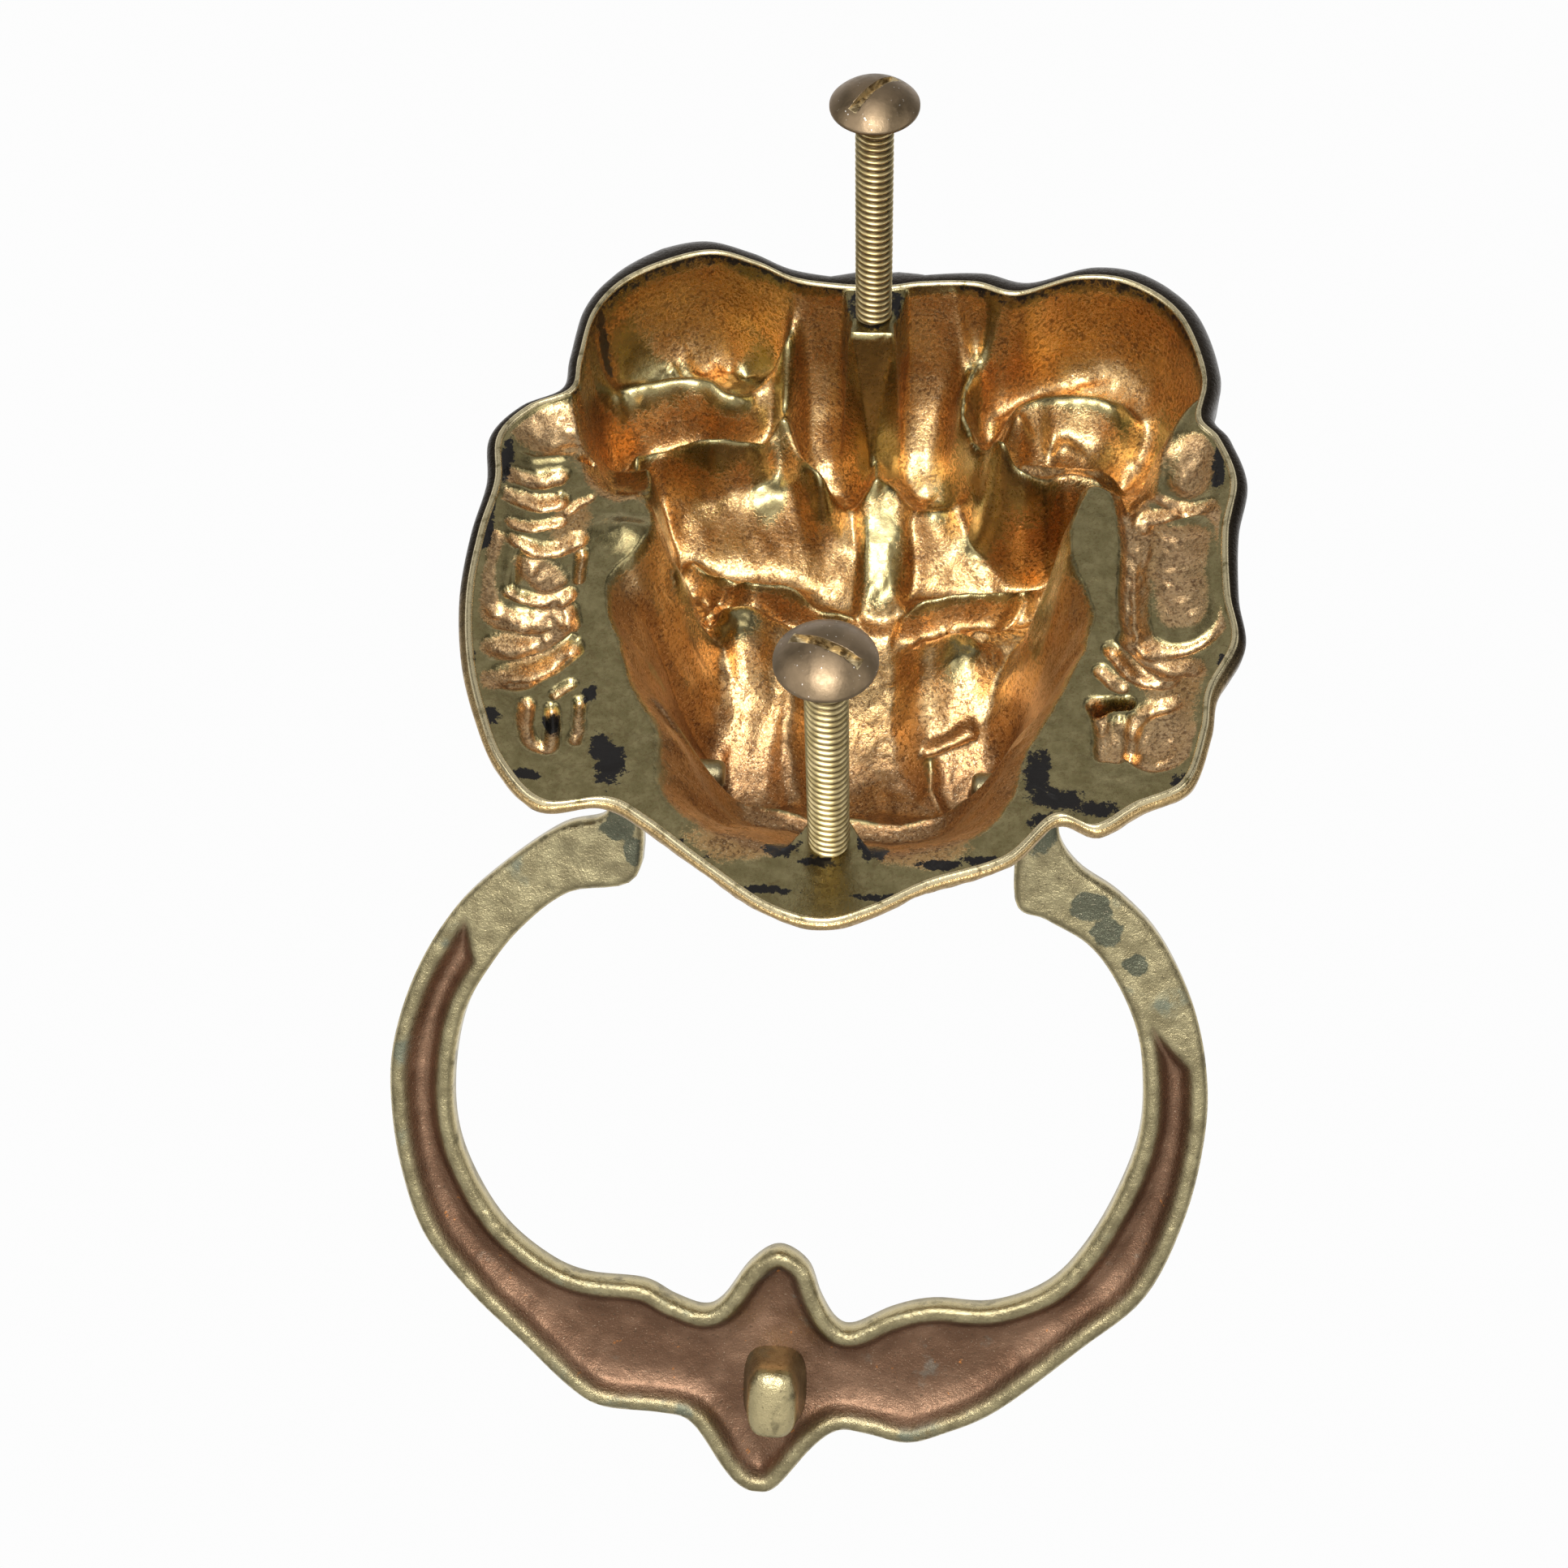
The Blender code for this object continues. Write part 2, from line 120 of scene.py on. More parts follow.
FLAT_DEPTH = ((75, 3), (20, 3.2), (-20, 3), (-36, 2.2), (-46, 1.2), (-75, 0.9))
# Outline of the deep part behind the face and the two upper lobes, x and z
DEEP_OUTLINE = (
    (26.4, -46), (27, -41), (28.4, -35), (31, -29), (33.6, -23), (36, -17), (38.2, -11),
    (38.8, -5.5), (37.5, -1.5), (34.5, 1.5), (33, 5), (33.2, 9), (35.5, 11.5), (38.5, 11),
    (42.5, 12.5), (45.4, 16.5), (46.8, 23), (48.6, 30), (52, 37), (57, 45), (60, 54), (56, 68),
    (42, 78), (0, 80), (-42, 80), (-60, 68), (-66, 52), (-62, 41), (-54, 37), (-50.4, 31),
    (-49.4, 25), (-48.4, 19.5), (-46.4, 15.4), (-43.4, 13.8), (-41.4, 15.6), (-40, 19),
    (-38, 19.6), (-36.4, 16.5), (-34.8, 10), (-34.6, 4), (-36.4, -0.5), (-38, -5.5), (-38.2, -10),
    (-37, -16), (-34.5, -22), (-31.8, -29), (-29.5, -35), (-28, -41), (-27, -46), (-24.5, -51),
    (-20.5, -54.6), (-15, -57), (-10, -58.2), (-6, -57.4), (0, -57), (5, -58.8), (10, -58.6),
    (14.5, -56.6), (19, -54), (23.8, -50.6))
# Width of the walls round it: z, width
FACE_WALL = (
    (75, 3), (44, 4), (30, 5), (18, 7), (4, 12), (-8, 16), (-20, 15), (-34, 15), (-44, 12),
    (-75, 8))

# Outlines of the two upper lobes, each with its depths: z, depth
LOBES = (
    (((15, 84), (15.2, 60), (15.3, 50), (17, 43), (20, 40), (24, 38.5), (29, 38), (33, 39.5),
      (36, 40.5), (38, 38), (36.5, 33), (34.5, 28), (33, 20), (32.6, 12), (34, 4), (60, 0),
      (84, 84)),
     ((75, 16), (66, 22), (54, 22), (44, 22.5), (38, 20), (32, 16), (26, 12), (20, 9), (12, 6),
      (-75, 4))),
    (((-15, 84), (-16.5, 60), (-15.6, 50), (-17, 42), (-19, 36), (-23, 32), (-27, 30),
      (-31, 30.5), (-34, 32), (-38, 31), (-39, 27), (-36, 22), (-35, 16), (-35, 8), (-60, 2),
      (-84, 84)),
     ((75, 15), (66, 21), (54, 21), (46, 21), (39, 20), (33, 16), (26, 12), (20, 9), (14, 6),
      (-75, 4))))
LOBE_EDGE = 4.4

# Strokes of the hollow: height (more is deeper), half width, sharpness, x and z along the stroke
HOLLOW_STROKES = (
    (2.6, 4.6, 2.4, ((48.5, 52), (47, 60), (41, 66), (32, 67.5), (23, 66))),
    (-6.2, 3, 2.2, ((48, 47.5), (44.5, 48.6), (40, 51.4), (34, 53.4), (29, 53.2), (25, 51),
     (21, 51.6), (16.5, 56))),
    (4.6, 3.8, 2.2, ((46, 41), (40, 45.4), (34, 46.6), (28, 46.4), (22, 46.8), (18.5, 50.5))),
    (-3.4, 1.7, 1.6, ((40, 38.2), (36.5, 40.4), (33, 40.2), (28, 39.2), (23, 39.6), (18.6, 42.2),
     (15.6, 46.2))), (4, 5.4, 2.6, ((44, 42), (42.4, 34), (42, 26), (40.6, 17))),
    (-1.8, 1.8, 1.6, ((45, 37), (40.5, 33), (37, 29.5))),
    (-1.5, 1.6, 1.6, ((46, 28.5), (41.5, 25), (37, 20))),
    (-6.5, 1.9, 2, ((14.4, 66), (14.6, 59), (15, 52), (14.4, 47), (11.6, 41), (8.2, 35))),
    (7, 5, 3, ((9.8, 63), (9.6, 57), (9, 51), (7.4, 46.5), (5.8, 43))),
    (7, 5, 3, ((-9.8, 63), (-9.6, 57), (-9, 51), (-9.4, 46.5), (-10.8, 43))),
    (-6.5, 1.8, 2, ((-23, 67), (-19.4, 60.5), (-16.6, 54), (-15.9, 48), (-17.2, 42), (-19.2, 37.4),
     (-23, 33.4))),
    (-3.6, 1.4, 1.6, ((-21, 34.6), (-24.5, 32.2), (-30, 30.8), (-35, 32.2), (-38.4, 30.6),
     (-38.6, 27), (-36, 22.5))),
    (2.6, 4, 2.4, ((-20.5, 55), (-25, 61), (-33, 64), (-42, 64.4), (-50, 60))),
    (-6.6, 3.2, 2.2, ((-24.6, 45.4), (-25.2, 48.6), (-29, 50.8), (-34, 51.6), (-38.5, 51.2),
     (-43, 50.4))),
    (4.4, 2.8, 2.2, ((-21, 50), (-22, 44), (-26.5, 41), (-32, 40), (-38, 40.4), (-43, 42))),
    (-3, 1.7, 1.8, ((-27, 35.6), (-32, 36.6), (-37, 37), (-42, 36.4))),
    (4, 4.6, 2.6, ((-46, 46), (-45.6, 38), (-44.6, 30), (-44.8, 22), (-45, 17))),
    (-2.2, 1.3, 1.5, ((-0.4, 47), (-0.9, 43.5), (-1.6, 39.6))),
    (-2.6, 4.3, 7, ((-2.8, 37), (-3.2, 22.4))),
    (-3.2, 1.5, 1.2, ((-7.6, 18.8), (-11, 20.2), (-16, 21.4), (-21.2, 22.5), (-27.9, 24.2),
     (-33, 27))), (2.2, 4.4, 2.2, ((-9, 26.6), (-16, 27.6), (-24, 28.2), (-30, 28.4))),
    (3.2, 2.4, 2.2, ((-10, 16.6), (-16, 18), (-23, 19.2), (-30, 21))),
    (-3.2, 1.5, 1.2, ((1.5, 19.4), (7.2, 20.6), (12.8, 22.2), (18.5, 22), (24, 23.6),
     (30, 27.5))), (2.2, 4.4, 2.2, ((5.5, 26.6), (12, 28.2), (19, 28.8), (27, 31))),
    (3.2, 2.4, 2.2, ((4, 16.6), (12, 18.6), (18, 18.2), (24, 19.6), (29, 22))),
    (1.5, 0.8, 2.4, ((-15.9, 17.2), (-20.8, 13.2))), (1.3, 0.8, 2.4, ((-23, 17.4), (-27.4, 23))),
    (1.6, 1.1, 2.4, ((-12.8, -5.2), (-16.5, -3.8), (-19.8, -2.2))),
    (-1.6, 1.5, 1.6, ((-13.2, -8), (-14.2, -13), (-17, -18))),
    (1.8, 2.4, 2.2, ((-32, 6), (-28.2, 0), (-25.1, -8.5), (-22.7, -15.4), (-21.5, -21.3))),
    (-2.6, 3, 2, ((-34.5, -2), (-31, -10), (-28, -18), (-26, -25))),
    (-2.2, 3, 2, ((34.5, -3), (31, -10), (28, -18), (26, -25))),
    (2, 2.6, 2.2, ((25, 4), (24, -6), (22, -16), (20, -22))),
    (-1.8, 1, 1.3, ((29, -25.5), (20.7, -30.4), (13.4, -33), (5.6, -35), (-4.5, -35.3),
     (-12.3, -34.6), (-20.2, -33.4), (-28, -30))),
    (2.2, 2.4, 2.2, ((27, -31), (18, -36.4), (8, -39), (-4, -39.6), (-14, -39), (-24, -36))),
    (1.8, 1.1, 2, ((22, 22), (25.4, 16), (27, 9), (26, 3))),
    (-1.6, 0.9, 1.6, ((25, 19), (27.8, 12), (28.6, 5))),
    (1.4, 0.9, 2, ((29.5, 17), (30.6, 9), (30, 2))))

# Mounds of the hollow: height, x, z, half width, half height
HOLLOW_MOUNDS = (
    (-5, 24, 35.4, 9, 4.6), (-2.6, 12.5, 37.5, 5.5, 4.4), (-3.4, 7.6, 36.5, 2.6, 5),
    (-3.4, -11.5, 37, 3.8, 7), (-3.4, -20, 30, 7.5, 3.8), (-3.4, 20.5, 16.5, 5, 3.6),
    (-3.6, 19.4, 9, 5, 6.6), (-3.4, -17.5, 8, 5.4, 7.4), (2.4, 13, 19.4, 3.2, 2.2),
    (1.6, -16, -10, 6, 6), (1.6, 16, -10, 6, 6), (-2, 36.8, 5, 4.4, 3),
    (2.4, 25.6, -14.8, 2, 2.8), (-1.8, -24, 44.5, 3, 3), (-2.2, -33.5, 44.6, 3.2, 2.6),
    (-1.8, -29, 46.6, 2.2, 2.2), (1.8, -31.5, 45.2, 1.2, 3.4), (1.6, 13.6, 5, 3, 11),
    (1.6, -12.6, 5, 3, 11), (-2, 7.2, -14, 3.6, 10), (-2, -6, -14, 3.6, 10))
# Rough patches of the hollow, as the mounds
ROUGH_PATCHES = (
    (1, 25, 63.5, 6.5, 4), (1.1, 27.5, 14, 5.5, 10), (0.8, 35, 62, 3.5, 5), (0.8, 42, 47, 3, 4),
    (0.6, -11, 42, 3, 3), (0.5, -40, 62, 8, 3))

# Locks and marks in the side flats, as the strokes above
FLAT_STROKES = (
    (1.5, 5, 2.6, ((54.5, 27.5), (50.5, 27))), (-0.8, 0.7, 2, ((56, 20.3), (49.5, 21.4))),
    (1.8, 1.7, 3, ((57.4, 15), (49.6, 17))), (2, 1.5, 3, ((57.2, 10.4), (48.6, 11.6))),
    (-0.8, 0.5, 2, ((54.6, 12.2), (49.6, 12.8))), (1.2, 0.7, 3, ((55.7, 5.2), (47.5, 6.9))),
    (0.9, 0.6, 3, ((47, 9), (43, 12.5))), (1.3, 1.1, 3, ((57.4, 1.5), (57.2, -6), (56, -13.5))),
    (1.5, 1.2, 3, ((54.5, 2.2), (48, 1.2), (44.5, 3.5))),
    (1.3, 2.8, 2.6, ((50.8, -3.2), (48.2, -5.2))), (-1, 0.6, 2, ((53.8, 0), (53.4, -8.5))),
    (1.4, 1, 3, ((54, -9.6), (49, -9.6), (44.5, -8))), (1.2, 0.8, 3, ((43.8, 1), (43.4, -5))),
    (2, 2.2, 3, ((55, -15), (50, -14.2), (45.4, -11.6))),
    (2.2, 2, 3, ((54.4, -21.5), (49.8, -19.2), (44.4, -14))),
    (-0.9, 0.6, 2, ((55, -18.4), (50, -16.8), (45, -12.8))),
    (2.2, 1.8, 3, ((53.6, -28.3), (48.6, -25.4), (43.4, -19.6))),
    (-1.1, 0.6, 2, ((54.4, -25.2), (49.2, -22.4), (43, -16.8))),
    (-1.1, 0.5, 2, ((51.4, -27.6), (47, -25), (42.4, -20))),
    (1.4, 1, 3, ((48.2, -31.6), (47.6, -36.4), (45.4, -40.2), (43.4, -40.2), (43, -36),
     (44, -32))), (1, 0.8, 3, ((44, -29), (41.6, -26.5))),
    (1, 0.9, 2.6, ((39.5, -30), (39, -35), (39.8, -38))),
    (1.6, 3.8, 2.6, ((-54, 27), (-53.6, 22.5))),
    (0.9, 1, 2.4, ((-44.6, 25.5), (-48, 18.6), (-52.5, 16.4), (-57, 15.5))),
    (1.4, 1.1, 3, ((-46.2, 12.7), (-57, 14.2), (-57.4, -10.6), (-46.4, -12.3), (-46.2, 12.7))),
    (0.4, 4, 4, ((-51.6, 8), (-51.6, -6))),
    (1.8, 1.4, 3, ((-45.8, 21), (-43.8, 15.6), (-44, 6.8), (-44, -6.5), (-44.6, -10.4))),
    (-1, 0.5, 2, ((-42.6, 18.8), (-45.6, 18.2))),
    (2, 1.6, 3, ((-44.4, -12.6), (-48.6, -17), (-53.2, -19.2))),
    (1.8, 1.3, 3, ((-41.6, -14.8), (-44.6, -19), (-49.6, -20.6))),
    (1.4, 1.2, 3, ((-39.8, -19.4), (-42.8, -21.8))),
    (-0.8, 0.5, 2, ((-43, -14.6), (-47, -19), (-52, -21.6))),
    (8, 0.85, 3, ((-39, -25.6), (-43.6, -25.3))),
    (1.7, 1.2, 3, ((-44.4, -35), (-44.6, -30), (-46.6, -26.6), (-50.2, -25.6))),
    (1.3, 1, 3, ((-44.4, -35), (-47.6, -38.4), (-51.6, -36.4), (-53.2, -32))),
    (0.7, 4.4, 3, ((-48.6, -31.4), (-48.4, -32.2))),
    (1.2, 0.6, 3, ((-50.2, -33.6), (-50.8, -34))),
    (1.4, 1.3, 3, ((-38.4, -25.4), (-40, -30.6), (-40.4, -36))),
    (1, 0.9, 3, ((-42.4, -29), (-42.2, -36.6))), (7, 0.75, 3, ((45.8, 22.3), (46, 22.1))))

# Spots of colour in the hollow: x, z, half width, half height
# Bare olive metal
BARE_SPOTS = (
    (35, 56, 13, 5.6), (22.5, 59, 5, 6), (15.6, 50, 1.8, 4.6), (-37.5, 55, 6.5, 4.6),
    (-1.5, 48, 3.6, 4), (-21.5, 33, 5, 4), (17, 38, 3.6, 5), (-17.5, 53, 2, 8),
    (15.6, 53, 1.8, 7), (-36, 24, 2.4, 5), (34.5, 20, 2, 9), (-31, 6, 2.6, 8), (20, 70, 4.5, 3.5),
    (16, 45, 3, 3), (20.5, 13, 4.5, 5), (-17.5, 9, 4, 5), (-12, 40, 3.4, 6), (-3.2, 30, 4.4, 8.4),
    (7.5, 38, 2.6, 4.5), (-27, 67.5, 7, 2.6), (51.5, 44, 2.2, 12), (-50.5, 38, 2.2, 14),
    (28.5, -46, 4, 6))
# Coppery metal that takes the place of olive
COPPER_SPOTS = (
    (30, 44, 13, 4.2), (9.5, 52, 4.6, 12), (-9.5, 52, 4.6, 12), (36, 68.5, 14, 4),
    (-32, 37.5, 11, 5), (-30, 45, 9, 3.5), (13, -56, 9, 4.4), (-13, -56, 8, 4.4), (46, 6, 4, 6),
    (50, -20, 5, 5), (-50, -22, 5, 7), (-45, 8, 3, 10), (44, 24, 5, 6), (-47, 28, 4, 5))
# Black: lacquer remains, and painted shadow round the feet of the two bolts
LACQUER_AND_SHADOW_SPOTS = (
    (-30, -40.5, 2.4, 6), (-33, -45.5, 5, 2.6), (-39, -47, 4, 1.8), (-31.5, -50, 3, 2),
    (25.6, -14.8, 1.9, 2.8), (-23.2, -17, 1, 3), (33.5, -43, 2.6, 5), (35.5, -39.5, 2.2, 3),
    (43.6, -34.4, 1.5, 2.4), (38.6, -28.6, 1.2, 2.2), (52.8, -35.5, 2.2, 2), (46, -46, 2.6, 1.2),
    (-51.5, -41.5, 2.2, 2.2), (-57.6, -19, 1, 3.6), (7, -56.5, 3, 2.2), (-6.5, -56, 2.4, 2.4),
    (1.5, -59, 3, 1.2), (22, -59.5, 6, 1), (-24, -57.5, 5, 1), (9, -64.5, 5, 0.9),
    (-8, -65, 5, 0.9), (5.4, -50.5, 1.6, 4.4), (-5, -51, 1.5, 4.2), (57.8, 18, 1.2, 6),
    (58.5, 3, 0.9, 6), (57.4, -26, 1.1, 4), (27, -53.6, 0.9, 0.9), (22, -57, 1.2, 0.8),
    (-57.6, 22.5, 1.2, 5), (-16, -58.6, 4, 1.2), (0, 57.6, 5.2, 5.8), (46.4, 53, 1, 2.2),
    (-42.6, 53, 1.4, 0.8), (-27.5, 56.6, 0.7, 0.5), (50.6, 41.5, 0.9, 1.4))

# Face on the front: height (more stands out), half width, x and z along the stroke
FRONT_STROKES = (
    (3, 4.2, ((-7, 28), (-15, 31), (-25, 29), (-31, 23))),
    (3, 4.2, ((7, 28), (15, 31), (25, 29), (31, 23))), (-1.6, 1.3, ((0, 46), (0, 36), (0, 28))),
    (2.2, 5.5, ((0, 30), (0, 14), (0, 0))), (3.4, 6, ((-6, -6), (0, -4), (6, -6))),
    (-2.4, 1.1, ((-3.2, -9.5), (-7.2, -8.5), (-9, -5.5))),
    (-2.4, 1.1, ((3.2, -9.5), (7.2, -8.5), (9, -5.5))), (-1.6, 0.7, ((0, -11), (0, -20))),
    (-2.8, 1.2, ((0, -20.5), (-5, -23.6), (-12, -24.6), (-18, -23.4), (-22, -25.4))),
    (-2.8, 1.2, ((0, -20.5), (5, -23.6), (12, -24.6), (18, -23.4), (22, -25.4))),
    (2.6, 1.3, ((-10.4, 10.4), (-13.4, 14.6), (-18, 15.8), (-22.4, 14), (-25.4, 10))),
    (2.6, 1.3, ((12, 11.4), (15, 16), (19.6, 17.4), (24, 15.4), (27, 11.4))),
    (1.8, 1.1, ((-11, 9), (-14.8, 5.8), (-19.6, 5.6), (-24.6, 9))),
    (1.8, 1.1, ((12.6, 10.2), (16.4, 7.2), (21.2, 7), (26.2, 10.4))))
# Mounds of the front, as those of the hollow
FRONT_MOUNDS = (
    (5.4, -17.8, 10.4, 5, 4), (5.4, 19.6, 11.8, 5, 4), (-1.6, -17.4, 10.4, 1.2, 1.2),
    (-1.6, 19, 11.8, 1.2, 1.2), (4.4, 0, -56, 8.5, 6.5), (2.4, -9.5, -14, 7.5, 6.5),
    (2.4, 9.5, -14, 7.5, 6.5), (1.8, 0, -29, 8, 5), (1.5, -24, 2, 8, 10), (1.5, 24, 2, 8, 10),
    (-1.6, -7.5, 20, 3, 4), (-1.6, 7.5, 20, 3, 4), (2, 0, -44, 7, 9), (5.5, 0, 60, 8, 5))

# Outline of the bail, x and height above the pivot, as in the CAD
BAIL_OUTER = (
    (40, -1), (40, -7), (47.5, -9.5), (57, -16.5), (65.5, -25), (72, -36.5), (75.8, -49.5),
    (76, -61), (74, -73), (70, -84), (62, -94), (53, -102.5), (44.5, -110.5), (38.5, -113.8),
    (28.5, -114.3), (22.8, -115.8), (17, -124), (14, -127.2), (11, -128.2), (7.5, -127),
    (1.4, -119), (-3, -115.5), (-8, -115.8), (-14.8, -117), (-21, -115), (-30.5, -109.8),
    (-44, -97.5), (-54.5, -87), (-60.3, -72), (-62.6, -57), (-62, -45.5), (-59, -34.5),
    (-53, -23.5), (-46, -16.5), (-39, -12), (-35.4, -7), (-35.4, -1))
BAIL_INNER = (
    (-28.8, -1), (-28.6, -18), (-34, -21.2), (-41, -25), (-46, -31), (-50, -39.3), (-51.7, -48),
    (-51.8, -58), (-49, -68.3), (-44, -79), (-37.8, -86.6), (-28.5, -90.8), (-18.5, -91),
    (-11.5, -93), (-5, -96.5), (-1.8, -95.8), (1, -91.5), (3.5, -85.5), (8.6, -82.7), (13.5, -86),
    (18, -92.8), (21.3, -94.7), (26.5, -93.2), (32, -90.6), (42, -90), (49, -87.2), (56.5, -81),
    (62, -72.3), (65, -63.5), (65.4, -53.3), (63.6, -43), (59.5, -35), (54, -27.5), (46, -20.8),
    (34.5, -17.3), (34.3, -1))
# Points of the outline beside the channel, and the channel's measures
CHANNEL_OUTER = slice(4, 31)
CHANNEL_INNER = slice(5, 32)
CHANNEL_RIM = 2.5
CHANNEL_DEPTH = 3.2
RING_BACK = -4
RING_FRONT = 5
RING_EDGE = 1.2
RING_ROLL = 0.9
RING_STEP = 0.6
RING_CURVE_STEPS = 6
# Painted shade: dark patches on the blades and necks next to the head, as the spots above
RING_SHADE_SPOTS = (
    (37, -3, 4, 6), (-32, -4, 4, 7), (-41, -18.5, 4, 3), (-44, -23, 3, 3), (-49, -28, 2.4, 2.4),
    (38, -9, 3, 2.4), (34.5, -13, 2.4, 3))
NUB_CENTRE = (8.5, -109)
# Sections of the striker nub from its foot up: half width, half height, level
NUB_LEVELS = (
    (6, 8, 0.5), (5.2, 7.3, -1.8), (4.7, 6.8, -4.5), (4.4, 6.5, -7), (4.2, 6.3, -7.9),
    (3.8, 5.9, -8.7), (3, 5.1, -9.3), (1.8, 3.6, -9.6), (0.6, 1.6, -9.7))
NUB_SQUARENESS = 3.2
NUB_SIDES = 40
NECK_SIDES = 32


# ---------------------------------------------------------------- numbers on arrays
def ease(t):
    t = np.clip(t, 0, 1)
    return t * t * (3 - 2 * t)


def look_up(rows, at):
    """Smooth look-up without overshoot in rows of falling position and value."""
    place = np.array([row[0] for row in rows][::-1], float)
    value = np.array([row[1] for row in rows][::-1], float)
    gap = np.diff(place)
    rise = np.diff(value) / gap
    slope = np.concatenate(([rise[0]], np.zeros(len(rise) - 1), [rise[-1]]))
    for i in range(1, len(rise)):
        if rise[i - 1] * rise[i] > 0:
            slope[i] = 2 * rise[i - 1] * rise[i] / (rise[i - 1] + rise[i])
    at = np.clip(at, place[0], place[-1])
    k = np.clip(np.searchsorted(place, at) - 1, 0, len(rise) - 1)
    t = (at - place[k]) / gap[k]
    near = (1 + 2 * t) * (1 - t) ** 2 * value[k] + t * (1 - t) ** 2 * gap[k] * slope[k]
    far = t * t * (3 - 2 * t) * value[k + 1] + t * t * (t - 1) * gap[k] * slope[k + 1]
    return near + far


def catmull(p0, p1, p2, p3, t):
    a = 2 * p1
    b = p2 - p0
    c = 2 * p0 - 5 * p1 + 4 * p2 - p3
    d = 3 * p1 - p0 - 3 * p2 + p3
    return 0.5 * (a + (b + (c + d * t) * t) * t)


def smooth_run(points, steps, closed=False):
    """Points along a smooth curve through the given points."""
    knots = np.array(points, float)
    last = len(knots) - 1
    curve = []
    for i in range(last + closed):
        order = [i - 1, i, i + 1, i + 2]
        order = [k % (last + 1) for k in order] if closed else np.clip(order, 0, last)
        curve += [catmull(*knots[order], k / steps) for k in range(steps)]
    return np.array(curve if closed else curve + [knots[-1]])


def distance_to_line(x, z, line):
    """Distance from each point to a line of many short pieces."""
    best = np.full(x.shape, 1e9)
    for (x0, z0), (x1, z1) in zip(line[:-1], line[1:]):
        dx, dz = x1 - x0, z1 - z0
        t = np.clip(((x - x0) * dx + (z - z0) * dz) / (dx * dx + dz * dz + 1e-12), 0, 1)
        best = np.minimum(best, (x - x0 - dx * t) ** 2 + (z - z0 - dz * t) ** 2)
    return np.sqrt(best)


def stroke(x, z, points, width, square):
    """Height of 1 along a smooth line that falls away to both sides."""
    line = smooth_run(points, 5) if len(points) > 2 else np.array(points, float)
    low, high = line.min(0) - 4 * width, line.max(0) + 4 * width
    near = (x > low[0]) & (x < high[0]) & (z > low[1]) & (z < high[1])
    amount = np.zeros(x.shape)
    amount[near] = np.exp(-(distance_to_line(x[near], z[near], line) / width) ** square)
    return amount


def mound(x, z, centre_x, centre_z, size_x, size_z, square=2.0):
    away = ((x - centre_x) / size_x) ** 2 + ((z - centre_z) / size_z) ** 2
    return np.exp(-away ** (square / 2))


def spots(x, z, places, square):
    """The highest of several mounds, from 0 to 1."""
    highest = np.zeros(x.shape)
    for place in places:
        highest = np.maximum(highest, mound(x, z, *place, square))
    return highest


def noise(x, z, size, seed):
    """Smooth random heights between -1 and 1 with hills of the given size."""
    table = np.random.default_rng(seed).uniform(-1, 1, (64, 64))
    u = x / size + 20.37
    v = z / size + 31.73
    i = np.floor(u).astype(int)
    j = np.floor(v).astype(int)
    s = ease(u - i)
    t = ease(v - j)
    low = table[i % 64, j % 64] * (1 - s) + table[(i + 1) % 64, j % 64] * s
    high = table[i % 64, (j + 1) % 64] * (1 - s) + table[(i + 1) % 64, (j + 1) % 64] * s
    return low * (1 - t) + high * t


def blur(field, cells):
    """Box blur, twice, of a field on the grid."""
    for _ in range(2):
        for axis in (0, 1):
            pad = [(cells, cells) if k == axis else (0, 0) for k in (0, 1)]
            run = np.cumsum(np.pad(field, pad, mode="edge"), axis=axis)
            run = np.insert(run, 0, 0, axis=axis)
            width = 2 * cells + 1
            high = np.take(run, range(width, run.shape[axis]), axis=axis)
            low = np.take(run, range(0, run.shape[axis] - width), axis=axis)
            field = (high - low) / width
    return field


def thicken(depth, wall):
    """Front of a casting of even wall thickness over the hollow, on the grid."""
    cells = int(wall / GRID_STEP)
    front = depth + wall
    for i in range(-cells, cells + 1):
        for j in range(-cells, cells + 1):
            reach = wall * wall - (i * i + j * j) * GRID_STEP ** 2
            if reach > 0:
                front = np.maximum(front, np.roll(depth, (i, j), (0, 1)) + sqrt(reach))
    return front


# ---------------------------------------------------------------- relief of the head

GRID_X = np.arange(-72, 72.01, GRID_STEP)
GRID_Z = np.arange(-80, 80.01, GRID_STEP)


def sample(field, x, z):
    """Value of a field on the grid at any points."""
    u = np.clip((x - GRID_X[0]) / GRID_STEP, 0, len(GRID_X) - 1.001)
    v = np.clip((z - GRID_Z[0]) / GRID_STEP, 0, len(GRID_Z) - 1.001)
    i = u.astype(int)
    j = v.astype(int)
    s = u - i
    t = v - j
    low = field[i, j] * (1 - s) + field[i + 1, j] * s
    high = field[i, j + 1] * (1 - s) + field[i + 1, j + 1] * s
    return low * (1 - t) + high * t


def inside(x, z, loop):
    """Which points lie inside a closed loop."""
    odd = np.zeros(x.shape, bool)
    for (x0, z0), (x1, z1) in zip(loop, np.roll(loop, -1, 0)):
        if z0 != z1:
            odd ^= ((z0 > z) != (z1 > z)) & (x < x0 + (z - z0) * (x1 - x0) / (z1 - z0))
    return odd


def inner_distance(x, z, points):
    """Distance from the edge of a smooth closed outline: positive inside, negative outside."""
    loop = smooth_run(points, 4, closed=True)
    reach = distance_to_line(x, z, np.vstack((loop, loop[:1])))
    return np.where(inside(x, z, loop), reach, -reach)


